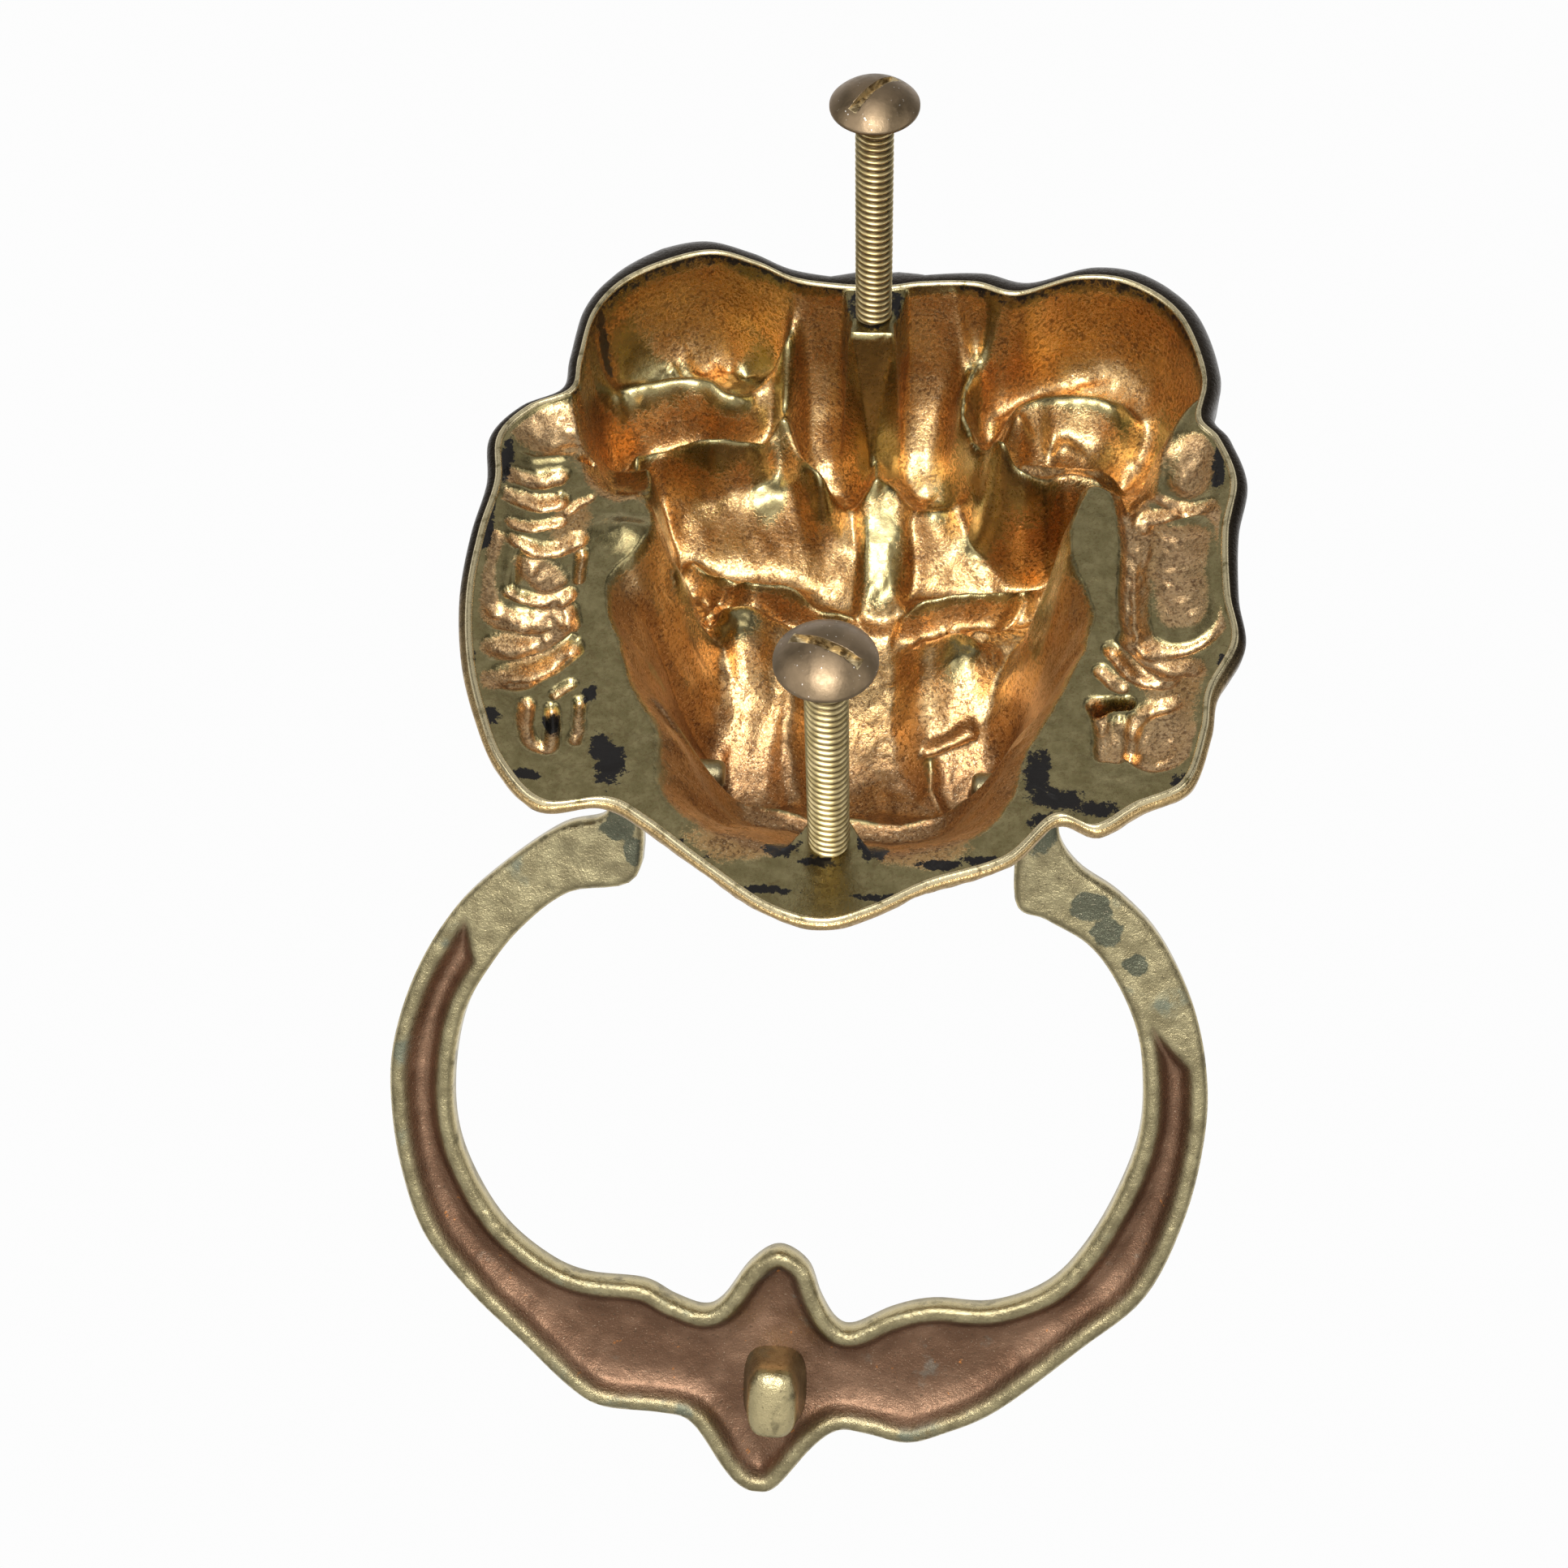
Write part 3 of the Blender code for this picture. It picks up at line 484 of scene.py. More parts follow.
def hollow_base(x, z):
    """The big forms of the hollow: the face, and the two upper lobes of the mane."""
    reach = np.maximum(inner_distance(x, z, DEEP_OUTLINE), 0)
    nose = ease((12.6 - np.abs(x + 0.4 - 0.08 * z)) / 7)
    cheek = look_up(CHEEK_DEPTH, z)
    target = cheek + (look_up(NOSE_DEPTH, z) - cheek) * nose
    for outline, depths in LOBES:
        lobe = ease(0.5 + inner_distance(x, z, outline) / LOBE_EDGE)
        target += (look_up(depths, z) - target) * lobe
    flat = look_up(FLAT_DEPTH, z)
    # the wall starts a little way up its curve, so its foot is not tangent to the flat
    start = 0.08
    wall = ease(start + (1 - start) * reach / look_up(FACE_WALL, z))
    level = float(ease(start))
    depth = flat + (target - flat) * np.maximum(wall - level, 0) / (1 - level)
    return depth, ease(reach / 1.6)


def boss_webs(x, z, depth):
    """The upper boss has a face that narrows downwards, the lower one stands on a triangle."""
    drop = np.maximum(UPPER_Z - 4.6 - z, 0)
    half = 3.9 * np.clip(1 - drop / 4.1, 0, 1) + 1.2 * ease((z - UPPER_Z + 2) / 6)
    post = 0.5 + 6.3 * drop + 22 * np.maximum(np.abs(x) - half, 0)
    upper = (depth > post) & (np.abs(x) < half + 0.3)
    depth = np.minimum(depth, post)
    wide = np.clip((LOWER_Z + 9.5 - z) * 0.62, 0.5, 11)
    flat = 1.0 + 24 * ease((np.abs(x) - wide + 1.0) / 5) + 60 * ease((z - LOWER_Z - 4.2) / 6)
    lower = depth > flat
    return np.minimum(depth, flat), upper | lower


def wander(x, z, seed):
    """Small sideways shifts, so that no outline runs too true."""
    return 0.55 * noise(x, z, 7, seed) + 0.22 * noise(x, z, 2.5, seed + 1)


def make_reliefs():
    """Hollow, front and the masks that colour them, as fields on the grid."""
    flat_x, flat_z = np.meshgrid(GRID_X, GRID_Z, indexing="ij")
    x = flat_x + wander(flat_x, flat_z, 31)
    z = flat_z + wander(flat_x, flat_z, 33)
    base, deep = hollow_base(x, z)
    depth = base.copy()
    swell = ease((base - 4) / 8)
    for height, width, square, points in HOLLOW_STROKES:
        depth += height * swell * stroke(x, z, points, width, square)
    for height, *place in HOLLOW_MOUNDS:
        depth += height * mound(x, z, *place)
    lock = np.zeros(x.shape)
    for height, width, square, points in FLAT_STROKES:
        mark = stroke(x, z, points, width, square)
        depth += height * mark
        if height > 0:
            lock = np.maximum(lock, mark)
    depth = np.maximum(depth, LIP)
    front = thicken(blur(np.minimum(depth, base + 7), 2), CASTING_WALL)
    rough = 0.30 * noise(x, z, 6.5, 1) + 0.20 * noise(x, z, 2.4, 2)
    for height, *place in ROUGH_PATCHES:
        patch = height * mound(x, z, *place, 4)
        rough += patch * (noise(x, z, 1.5, 4) + 0.6 * noise(x, z, 3.1, 7))
    depth += rough * (0.35 + 0.65 * np.maximum(deep, lock)) + 0.07 * noise(x, z, 1, 3)
    depth += lock * (0.30 * noise(x, z, 1.4, 9) + 0.25 * noise(x, z, 2.8, 10))
    x, z = flat_x, flat_z
    depth, web = boss_webs(x, z, depth)
    ridge = blur(depth, 6) - depth
    land = ease((ridge - 0.55) / 1.3) * 0.85 * ease((base - 11) / 4)
    land = np.maximum(land, (1 - deep) * (1 - np.clip(1.5 * lock, 0, 1)))
    land = np.maximum(land, 0.85 * spots(x, z, BARE_SPOTS, 4))
    for place in COPPER_SPOTS:
        land = land * (1 - 0.9 * mound(x, z, *place, 3))
    land = np.maximum(land, web)
    return {"hollow": depth, "front": front_relief(x, z, front), "land": blur(land, 1),
            # the black spots hold painted shadow round the bolts' feet as well as lacquer
            "lock": lock, "lacquer_and_shadow": spots(x, z, LACQUER_AND_SHADOW_SPOTS, 3),
            "brown": ease((5 - z) / 16) * deep}


def front_relief(x, z, front):
    """Lion's face, then locks of mane that flow away from it."""
    for height, width, points in FRONT_STROKES:
        front = front + height * stroke(x, z, points, width, 2)
    for height, *place in FRONT_MOUNDS:
        front = front + height * mound(x, z, *place, 2.6)
    face = ((x / 31) ** 2 + ((z - 6) / 38) ** 2) ** 0.5
    mane = ease((face - 0.95) / 0.25)
    angle = np.arctan2(z - 4, x)
    away = np.hypot(x, z - 4)
    swirl = angle + 0.10 * np.sin(away / 5.5 + 3 * angle) + 0.05 * noise(x, z, 9, 5)
    lock = np.abs(np.sin(swirl * 13 + 0.5 * np.sin(away / 7)))
    hair = np.sin(swirl * 104 + 1.5 * noise(x, z, 6, 6))
    front = front + mane * (2.0 * lock ** 0.6 + 0.28 * hair - 0.9)
    return front + 0.10 * noise(x, z, 2.2, 8)


# ---------------------------------------------------------------- meshes

def set_attributes(mesh, **fields):
    for name, values in fields.items():
        layer = mesh.attributes.new(name, 'FLOAT', 'POINT')
        layer.data.foreach_set("value", np.asarray(values, np.float32))


def add_object(name, data):
    thing = bpy.data.objects.new(name, data)
    bpy.context.scene.collection.objects.link(thing)
    return thing


def mesh_object(name, vertices, faces, smooth=True):
    """Object from vertices in millimetres."""
    mesh = bpy.data.meshes.new(name)
    mesh.from_pydata(np.asarray(vertices) * MM, [], faces)
    mesh.validate()
    if smooth:
        mesh.shade_smooth()
    return add_object(name, mesh)


def outward(piece):
    """Turn every face of a closed mesh outwards."""
    shape = bmesh.new()
    shape.from_mesh(piece.data)
    bmesh.ops.recalc_face_normals(shape, faces=shape.faces)
    shape.to_mesh(piece.data)
    shape.free()


def grid_faces(rows, columns):
    """Quads between rows of a grid whose columns go round."""
    i = np.arange(rows - 1)[:, None]
    j = np.arange(columns)[None, :]
    a = i * columns + j
    b = i * columns + (j + 1) % columns
    return np.stack((a, b, b + columns, a + columns), -1).reshape(-1, 4)


def tube_faces(rows, sides, start=0):
    """Faces of a tube with a cap at either end, whose points begin at the given number."""
    end = start + (rows - 1) * sides
    quads = (grid_faces(rows, sides) + start).tolist()
    return [*map(tuple, quads), tuple(range(start, start + sides)), tuple(range(end, end + sides))]


def circle(radius, sides):
    """Points of a circle, as pairs."""
    turns = [2 * pi * k / sides for k in range(sides)]
    return [(radius * cos(turn), radius * sin(turn)) for turn in turns]


def rim_radius():
    """Distance from the origin to the rim for each column, and the columns' angles."""
    loop = smooth_run(RIM, 24, closed=True)
    turn = np.arctan2(loop[:, 1], loop[:, 0])
    away = np.hypot(loop[:, 0], loop[:, 1])
    order = np.argsort(turn)
    angle = np.linspace(-pi, pi, HEAD_COLUMNS, endpoint=False)
    turn = turn[order]
    away = away[order]
    radius = np.interp(angle, np.r_[turn - 2 * pi, turn, turn + 2 * pi], np.tile(away, 3))
    return angle, radius


def outer_roll(angle):
    """Radius of the rounding outside the rim, for each direction from the origin."""
    turn = np.degrees(angle)
    return np.interp(turn, [row[0] for row in OUTER_ROLL], [row[1] for row in OUTER_ROLL])


def head_points():
    """Rows of points from the middle of the front, over the rim, to the middle of the hollow."""
    fields = make_reliefs()
    smooth_front = blur(fields["front"], 8)
    angle, radius = rim_radius()
    roll = outer_roll(angle)
    roll_tone = 0.5 - 1.7 * ease((roll - 0.6) / 1.2)
    undercut = 0.4 * (3.6 * np.maximum(np.sin(angle), 0) ** 0.8 + 0.5)
    rows = []
    marks = {name: [] for name in ("recess", "land", "lock", "lacquer_and_shadow", "brown", "rim", "front")}

    def spread(reach):
        return reach * np.cos(angle), reach * np.sin(angle)

    def add(x, z, depth, **values):
        rows.append(np.stack((x, -depth, z), -1))
        for name, store in marks.items():
            store.append(np.broadcast_to(values.get(name, 0), x.shape))

    for inward in np.linspace(1, 0, FRONT_ROWS)[1:] ** 1.15:
        edge = min(inward / FRONT_EDGE, 1)
        turn = min(edge / ROLL_PART, 1) * pi / 2
        past = max((edge - ROLL_PART) / (1 - ROLL_PART), 0)
        shrink = inward if edge == 1 else FRONT_EDGE * past ** 1.3
        out = roll * (sin(turn) if past == 0 else 1 - float(ease(past)))
        x, z = spread(radius * (1 - shrink) + out)
        depth = sample(fields["front"], x, z)
        stands = depth - sample(smooth_front, x, z)
        side = LIP + roll * (1 - cos(turn))
        depth = side + np.maximum(depth - side, 0) * sqrt(1 - (1 - past) ** 2)
        add(x, z, depth, recess=stands * past + (1 - past) * roll_tone, front=1,
            rim=max(1 - inward / 0.004, 0))
    for turn in np.linspace(0, 1, LIP_ROWS)[1:-1]:
        x, z = spread(radius - LIP + LIP * cos(pi * turn))
        depth = np.full(angle.shape, LIP - LIP * sin(pi * turn))
        add(x, z, depth, rim=1, land=1, front=0.5 * (1 - turn))
    for inward in np.linspace(0, 1, HOLLOW_ROWS)[:-1] ** 1.1:
        swell = undercut * sin(pi * min(inward / UNDERCUT_END, 1))
        x, z = spread((radius - 2 * LIP) * (1 - inward) + swell)
        edge = min(inward / HOLLOW_EDGE, 1)
        depth = sample(fields["hollow"], x, z)
        steep = ease((depth - 3.5) / 5)
        rise = steep * sqrt(1 - (1 - edge) ** 2) + (1 - steep) * float(ease(edge))
        depth = LIP + (depth - LIP) * rise
        near = max(1 - inward / 0.02, 0) * (1 - ease((depth - 1.5) / 2))
        black = steep * (1 - ease(0.4 * depth)) * 0.8
        masks = {name: sample(fields[name], x, z) for name in ("land", "lock", "lacquer_and_shadow", "brown")}
        masks["land"] = np.maximum(masks["land"], near)
        masks["lacquer_and_shadow"] = np.maximum(masks["lacquer_and_shadow"], black)
        add(x, z, depth, rim=0.8 * near ** 2, **masks)
    return np.array(rows), {name: np.array(value) for name, value in marks.items()}


def make_head():
    rows, marks = head_points()
    count, columns = rows.shape[:2]
    points = rows.reshape(-1, 3)
    vertices = np.vstack((points, rows[0].mean(0), rows[-1].mean(0)))
    faces = grid_faces(count, columns).tolist()
    end = (count - 1) * columns
    for k in range(columns):
        n = (k + 1) % columns
        faces.append((n, k, len(points)))
        faces.append((end + k, end + n, len(points) + 1))
    head = mesh_object("lion_casting", vertices, faces)
    for name, value in marks.items():
        flat = value.reshape(-1)
        set_attributes(head.data, **{name: np.r_[flat, flat[0], flat[-1]]})
    return head


# ---------------------------------------------------------------- bail

def inset(points, distance):
    """Move one side of the outline inwards; its points run with the body on their right."""
    before = np.vstack((points[:1], points[:-1]))
    after = np.vstack((points[1:], points[-1:]))
    along = after - before
    along /= np.linalg.norm(along, axis=1)[:, None]
    return points + np.stack((along[:, 1], -along[:, 0]), -1) * distance


def even_steps(line, step):
    """The same closed line with points an even step apart."""
    line = np.vstack((line, line[:1]))
    gone = np.r_[0, np.cumsum(np.linalg.norm(np.diff(line, axis=0), axis=1))]
    at = np.linspace(0, gone[-1], int(gone[-1] / step), endpoint=False)
    return np.stack((np.interp(at, gone, line[:, 0]), np.interp(at, gone, line[:, 1])), -1)


def bail_plan():
    """Flat triangles that fill the bail's outline, with each point's distances to its lines."""
    outer = smooth_run(BAIL_OUTER, RING_CURVE_STEPS)
    inner = smooth_run(BAIL_INNER, RING_CURVE_STEPS)
    outline = even_steps(np.vstack((outer, inner)), RING_STEP)
    x, z = np.meshgrid(np.arange(-64, 78, RING_STEP), np.arange(-130, 0, RING_STEP))
    x = (x + (np.arange(x.shape[0]) % 2)[:, None] * RING_STEP / 2).ravel()
    z = z.ravel()
    keep = inside(x, z, outline)
    x, z = x[keep], z[keep]
    closed = np.vstack((outline, outline[:1]))
    clear = distance_to_line(x, z, closed) > RING_STEP * 0.6
    points = np.vstack((outline, np.stack((x[clear], z[clear]), -1)))
    count = len(outline)
    edges = [(k, (k + 1) % count) for k in range(count)]
    made = delaunay_2d_cdt([Vector(p) for p in points], edges, [], 1, 1e-6)
    flat = np.array([tuple(p) for p in made[0]])
    sides = (BAIL_OUTER[CHANNEL_OUTER], BAIL_INNER[CHANNEL_INNER])
    groove = np.vstack([inset(smooth_run(side, RING_CURVE_STEPS), CHANNEL_RIM) for side in sides])
    x, z = flat.T
    edge = distance_to_line(x, z, closed)
    edge[:count] = 0
    within = np.where(inside(x, z, groove), 1, -1)
    channel = distance_to_line(x, z, np.vstack((groove, groove[:1]))) * within
    return flat, [tuple(t) for t in made[2]], edge, channel, count


def make_ring():
    flat, triangles, edge, channel, count = bail_plan()
    x, z = flat.T
    total = len(flat)
    bend = 1 - np.clip(edge / RING_ROLL, 0, 1)
    roll = RING_ROLL * (1 - np.sqrt(np.clip(1 - bend ** 2, 0, 1)))
    floor = CHANNEL_DEPTH * ease((channel + 0.5) / 2.4) * (0.72 + 0.28 * ease(channel / 5))
    rough = 0.12 * noise(x, z, 4, 11) + 0.06 * noise(x, z, 1.5, 12)
    back = RING_BACK + roll + floor + rough * ease(edge / 2)
    crown = 1 - np.exp(-edge / 2.6)
    line = np.exp(-((edge - 2.3) / 0.45) ** 2)
    knuckle = mound(x, z, 8.7, -105, 6.5, 12, 3)
    front = (RING_EDGE + (RING_FRONT - RING_EDGE) * crown - 0.35 * line
             + 0.8 * knuckle - 0.8)
    faces = []
    for a, b, c in triangles:
        faces.append((a, c, b))
        faces.append((a + total, b + total, c + total))
    for k in range(count):
        n = (k + 1) % count
        faces.append((k, n, n + total, k + total))
    nub, nub_faces = nub_mesh(2 * total)
    ends, end_faces = neck_meshes(2 * total + len(nub))
    vertices = np.vstack((np.stack((x, z, back), -1), np.stack((x, z, front), -1), nub, ends))
    ring = mesh_object("bail", vertices, faces + nub_faces + end_faces)
    outward(ring)
    groove = np.zeros(len(vertices))
    groove[:total] = ease((channel + 0.5) / 1.6)
    worn = np.zeros(len(vertices))
    worn[:total] = 1 - ease(edge)
    worn[total:2 * total] = 0.50 + 0.25 * crown
    worn[2 * total:2 * total + len(nub)] = 0.75 * ease((-3.5 - nub[:, 2]) / 2.5)
    # painted shade at the tops of the blades and necks, next to the head
    stain = spots(vertices[:, 0], vertices[:, 1], RING_SHADE_SPOTS, 3)
    set_attributes(ring.data, channel=groove, worn=worn, stain=stain)
    ring.matrix_world = Matrix.Translation(PIVOT) @ Matrix.Rotation(pi / 2 - SWING_OUT, 4, 'X')
    return ring


def nub_mesh(start):
    """The striker: a post with a rounded oblong top, standing up from the channel."""
    points = []
    for half_x, half_z, level in NUB_LEVELS:
        for c, s in circle(1, NUB_SIDES):
            grow = (abs(c) ** NUB_SQUARENESS + abs(s) ** NUB_SQUARENESS) ** (-1 / NUB_SQUARENESS)
            points.append((NUB_CENTRE[0] + half_x * grow * c, NUB_CENTRE[1] + half_z * grow * s,
                           level))
    return np.array(points), tube_faces(len(NUB_LEVELS), NUB_SIDES, start)


def neck_meshes(start):
    """Round necks at the bail's two ends, with the pins that enter the muzzle."""
    points = []
    faces = []
    for way, near, far in ((1, 34.3, 40), (-1, 28.8, 35.4)):
        profile = ((20.5, 1.6), (20.9, 2.2), (21.6, 2.5), (near - 0.6, 2.5), (near - 0.2, 2.9),
                   (near, 4.4), (near + 0.6, 5.1), (far - 0.8, 5.1), (far, 4.3))
        faces += tube_faces(len(profile), NECK_SIDES, start + len(points))
        points += [(way * across, *pair) for across, radius in profile
                   for pair in circle(radius, NECK_SIDES)]
    return np.array(points), faces


# ---------------------------------------------------------------- bolts

def make_bolt(name, box, z, slot_turn):
    """Mushroom head with a burred slot, and a shank with a real helical thread."""
    low = box[0][1] / MM
    seat = box[1][1] / MM - BOLT_HEAD_HEIGHT - BOLT_HEAD_EDGE
    head = bolt_head(name + "_head", seat, slot_turn)
    rows = int((seat - low) / THREAD_PITCH * ROWS_PER_THREAD)
    points = []
    for i in range(rows + 1):
        height = low + (seat - low) * i / rows
        taper = min(1, (height - low) / 1.2 + 0.72)
        for k, (c, s) in enumerate(circle(1, THREAD_SIDES)):
            phase = (height / THREAD_PITCH - k / THREAD_SIDES) % 1
            crest = float(ease((1 - abs(2 * phase - 1) - 0.12) / 0.76))
            radius = (THREAD_RADIUS - THREAD_DEPTH * (1 - crest)) * taper
            points.append((radius * c, height, radius * s))
    shank = mesh_object(name + "_shank", points, tube_faces(rows + 1, THREAD_SIDES))
    root = np.hypot(*np.array(points)[:, ::2].T)
    set_attributes(shank.data, crest=ease((root - THREAD_RADIUS + 0.6) / 0.55))
    for piece in (head, shank):
        piece.location = (0, 0, z * MM)
        outward(piece)
    return head, shank


def bolt_head(name, seat, slot_turn):
    """A shallow dome over a short edge, with the slot cut out."""
    sphere = (BOLT_HEAD_RADIUS ** 2 + BOLT_HEAD_HEIGHT ** 2) / (2 * BOLT_HEAD_HEIGHT)
    crown = seat + BOLT_HEAD_EDGE + BOLT_HEAD_HEIGHT
    profile = []
    for k in range(1, 25):
        radius = (BOLT_HEAD_RADIUS - 0.12) * k / 24
        profile.append((radius, crown - sphere + sqrt(sphere ** 2 - radius ** 2)))
    profile += [(BOLT_HEAD_RADIUS, profile[-1][1] - 0.15), (BOLT_HEAD_RADIUS, seat + 0.12),
                (BOLT_HEAD_RADIUS - 0.15, seat), (THREAD_RADIUS - 0.6, seat)]
    points = [(x, height, z) for radius, height in profile
              for x, z in circle(radius, BOLT_HEAD_SIDES)]
    head = mesh_object(name, points, tube_faces(len(profile), BOLT_HEAD_SIDES))
    outward(head)
    cutter = slot_cutter(crown, slot_turn)
    cut = head.modifiers.new("slot", 'BOOLEAN')
    cut.operation = 'DIFFERENCE'
    cut.object = cutter
    apply_modifiers(head)
    bpy.data.objects.remove(cutter, do_unlink=True)
    head.data.materials.clear()
    return head


def slot_cutter(crown, slot_turn):
    """A bar along the slot whose long edges wander a little."""
    across = Vector((cos(slot_turn), 0, sin(slot_turn)))
    side = Vector((-sin(slot_turn), 0, cos(slot_turn)))
    points = []
    for i in range(SLOT_STEPS + 1):
        along = (2 * i / SLOT_STEPS - 1) * (BOLT_HEAD_RADIUS + 1)
        shift = 0.10 * float(noise(np.array(along), np.array(slot_turn), 1.3, 21))
        for way, height in ((-1, 2), (1, 2), (1, -SLOT_DEPTH), (-1, -SLOT_DEPTH)):
            place = across * along + side * (way * SLOT_WIDTH / 2 + shift)
            points.append((place.x, crown + height, place.z))
    cutter = mesh_object("slot_cutter", points, tube_faces(SLOT_STEPS + 1, 4), smooth=False)
    outward(cutter)
    return cutter


def apply_modifiers(thing):
    bpy.context.view_layer.update()
    evaluated = thing.evaluated_get(bpy.context.evaluated_depsgraph_get())
    mesh = bpy.data.meshes.new_from_object(evaluated)
    thing.modifiers.clear()
    thing.data = mesh


# ---------------------------------------------------------------- materials

class Nodes:
    """A short way to build the node tree of a material or a world."""

    def __init__(self, owner):
        owner.use_nodes = True
        self.owner = owner
        self.tree = owner.node_tree

    def add(self, kind, inputs, **settings):
        node = self.tree.nodes.new(kind)
        for name, value in settings.items():
            setattr(node, name, value)
        for socket, value in inputs.items():
            self.feed(node.inputs[socket], value)
        return node

    def feed(self, socket, value):
        """Link a socket to an output, or set it to a number or a colour."""
        if isinstance(value, (int, float)):
            socket.default_value = value
        elif isinstance(value, tuple):
            socket.default_value = (*value, 1)
        else:
            self.tree.links.new(value, socket)

    def attribute(self, name):
        return self.add("ShaderNodeAttribute", {}, attribute_name=name).outputs["Fac"]

    def noise(self, scale, detail, rough=0.6):
        place = self.add("ShaderNodeTexCoord", {}).outputs["Object"]
        inputs = {"Scale": scale, "Detail": detail, "Roughness": rough, "Vector": place}
        return self.add("ShaderNodeTexNoise", inputs).outputs["Fac"]

    def ramp(self, value, low, high):
        inputs = {"Value": value, "From Min": low, "From Max": high}
        node = self.add("ShaderNodeMapRange", inputs, interpolation_type='SMOOTHSTEP')
        return node.outputs["Result"]

    def math(self, operation, a, b):
        return self.add("ShaderNodeMath", {0: a, 1: b}, operation=operation).outputs[0]

    def times(self, a, b):
        return self.math('MULTIPLY', a, b)

    def plus(self, a, b):
        return self.math('ADD', a, b)

    def invert(self, value):
        return self.math('SUBTRACT', 1.0, value)

    def stray(self, value, middle, weight):
        """How far a value lies from its middle, weighted."""
        return self.times(self.math('SUBTRACT', value, middle), weight)

    def mix(self, amount, a, b):
        """A colour between two."""
        inputs = {0: amount, 6: a, 7: b}
        return self.add("ShaderNodeMix", inputs, data_type='RGBA').outputs[2]

    def blend(self, amount, a, b):
        """A number between two."""
        inputs = {0: amount, 2: a, 3: b}
        return self.add("ShaderNodeMix", inputs, data_type='FLOAT').outputs[0]

    def bump(self, height, distance, strength, normal=None):
        inputs = {"Height": height, "Distance": distance, "Strength": strength}
        if normal is not None:
            inputs["Normal"] = normal
        return self.add("ShaderNodeBump", inputs).outputs["Normal"]

    def surface(self, colour, metallic, roughness, normal=None):
        sockets = self.tree.nodes["Principled BSDF"].inputs
        self.feed(sockets["Base Color"], colour)
        self.feed(sockets["Metallic"], metallic)
        self.feed(sockets["Roughness"], roughness)
        if normal is not None:
            self.feed(sockets["Normal"], normal)
        return self.owner


def head_material():
    """Copper-toned speckled hollow with olive lands, rubbed front, black lacquer remains and
    painted shadow round the bolts' feet.
    """
    n = Nodes(bpy.data.materials.new("cast_brass_head"))
    rim = n.attribute("rim")
    brown = n.attribute("brown")
    broad = n.noise(85, 3)
    middle = n.noise(420, 4)
    fine = n.noise(1600, 3, 0.7)
    grain = n.noise(3400, 2)
    # the hollow: copper, browner low down, and bare olive metal on the lands
    copper = n.mix(n.ramp(broad, 0.38, 0.64), (0.56, 0.32, 0.125), (0.74, 0.49, 0.22))
    copper = n.mix(n.times(n.attribute("lock"), 0.75), copper, (0.70, 0.46, 0.24))
    copper = n.mix(n.times(brown, 0.85), copper, (0.36, 0.195, 0.088))
    olive = n.mix(n.ramp(middle, 0.35, 0.7), (0.285, 0.236, 0.108), (0.40, 0.335, 0.165))
    tone = n.plus(n.attribute("land"), n.stray(fine, 0.5, 1.1))
    bare = n.ramp(n.plus(tone, n.stray(broad, 0.44, 1.3)), 0.30, 0.66)
    body = n.mix(bare, copper, olive)
    # dark pits in crowds, and painted glints: bright highlight specks on the copper
    crowd = n.ramp(n.noise(230, 3), 0.30, 0.62)
    pit = n.times(n.ramp(fine, 0.48, 0.60), n.blend(bare, 1.0, 0.35))
    pit = n.times(pit, n.blend(crowd, 0.45, 1.0))
    body = n.mix(n.times(pit, 0.84), body, (0.13, 0.062, 0.028))
    painted_glint = n.times(n.ramp(grain, 0.58, 0.68), n.invert(bare))
    body = n.mix(n.times(painted_glint, 0.6), body, (0.95, 0.74, 0.46))
    # the front is rubbed brass with the lacquer left in the recesses
    stands = n.plus(n.attribute("recess"), n.times(middle, 0.8))
    aged = n.mix(n.ramp(fine, 0.40, 0.66), (0.60, 0.42, 0.19), (0.40, 0.27, 0.12))
    face = n.mix(n.ramp(stands, -0.35, 1.05), (0.040, 0.030, 0.020), aged)
    body = n.mix(n.ramp(n.attribute("front"), 0.30, 0.45), body, face)
    # ragged black lacquer and painted shadow round the bolts' feet, kept off the worn rim
    ragged = n.stray(n.noise(700, 7, 0.75), 0.5, 2.6)
    lacquer_and_shadow = n.ramp(n.plus(n.attribute("lacquer_and_shadow"), ragged), 0.50, 0.58)
    lacquer_and_shadow = n.times(lacquer_and_shadow, n.invert(n.ramp(rim, 0.80, 0.95)))
    body = n.mix(lacquer_and_shadow, body, (0.014, 0.012, 0.011))
    bright = n.times(n.ramp(rim, 0.80, 0.98), n.ramp(middle, 0.30, 0.50))
    body = n.mix(bright, body, (0.78, 0.66, 0.40))
    metal = n.invert(n.times(lacquer_and_shadow, 0.45))
    rough = n.plus(n.blend(bare, 0.27, 0.25), n.times(pit, 0.12))
    rough = n.blend(lacquer_and_shadow, n.plus(rough, n.times(brown, 0.08)), 0.14)
    sandy = n.blend(bare, 1.0, 0.35)
    coarse = n.bump(n.times(middle, n.blend(bare, 1.0, 0.25)), 0.0007, 0.14)
    pits = n.bump(n.times(fine, sandy), 0.0005, 0.24, coarse)
    return n.surface(body, metal, rough, n.bump(n.times(grain, sandy), 0.0002, 0.2, pits))


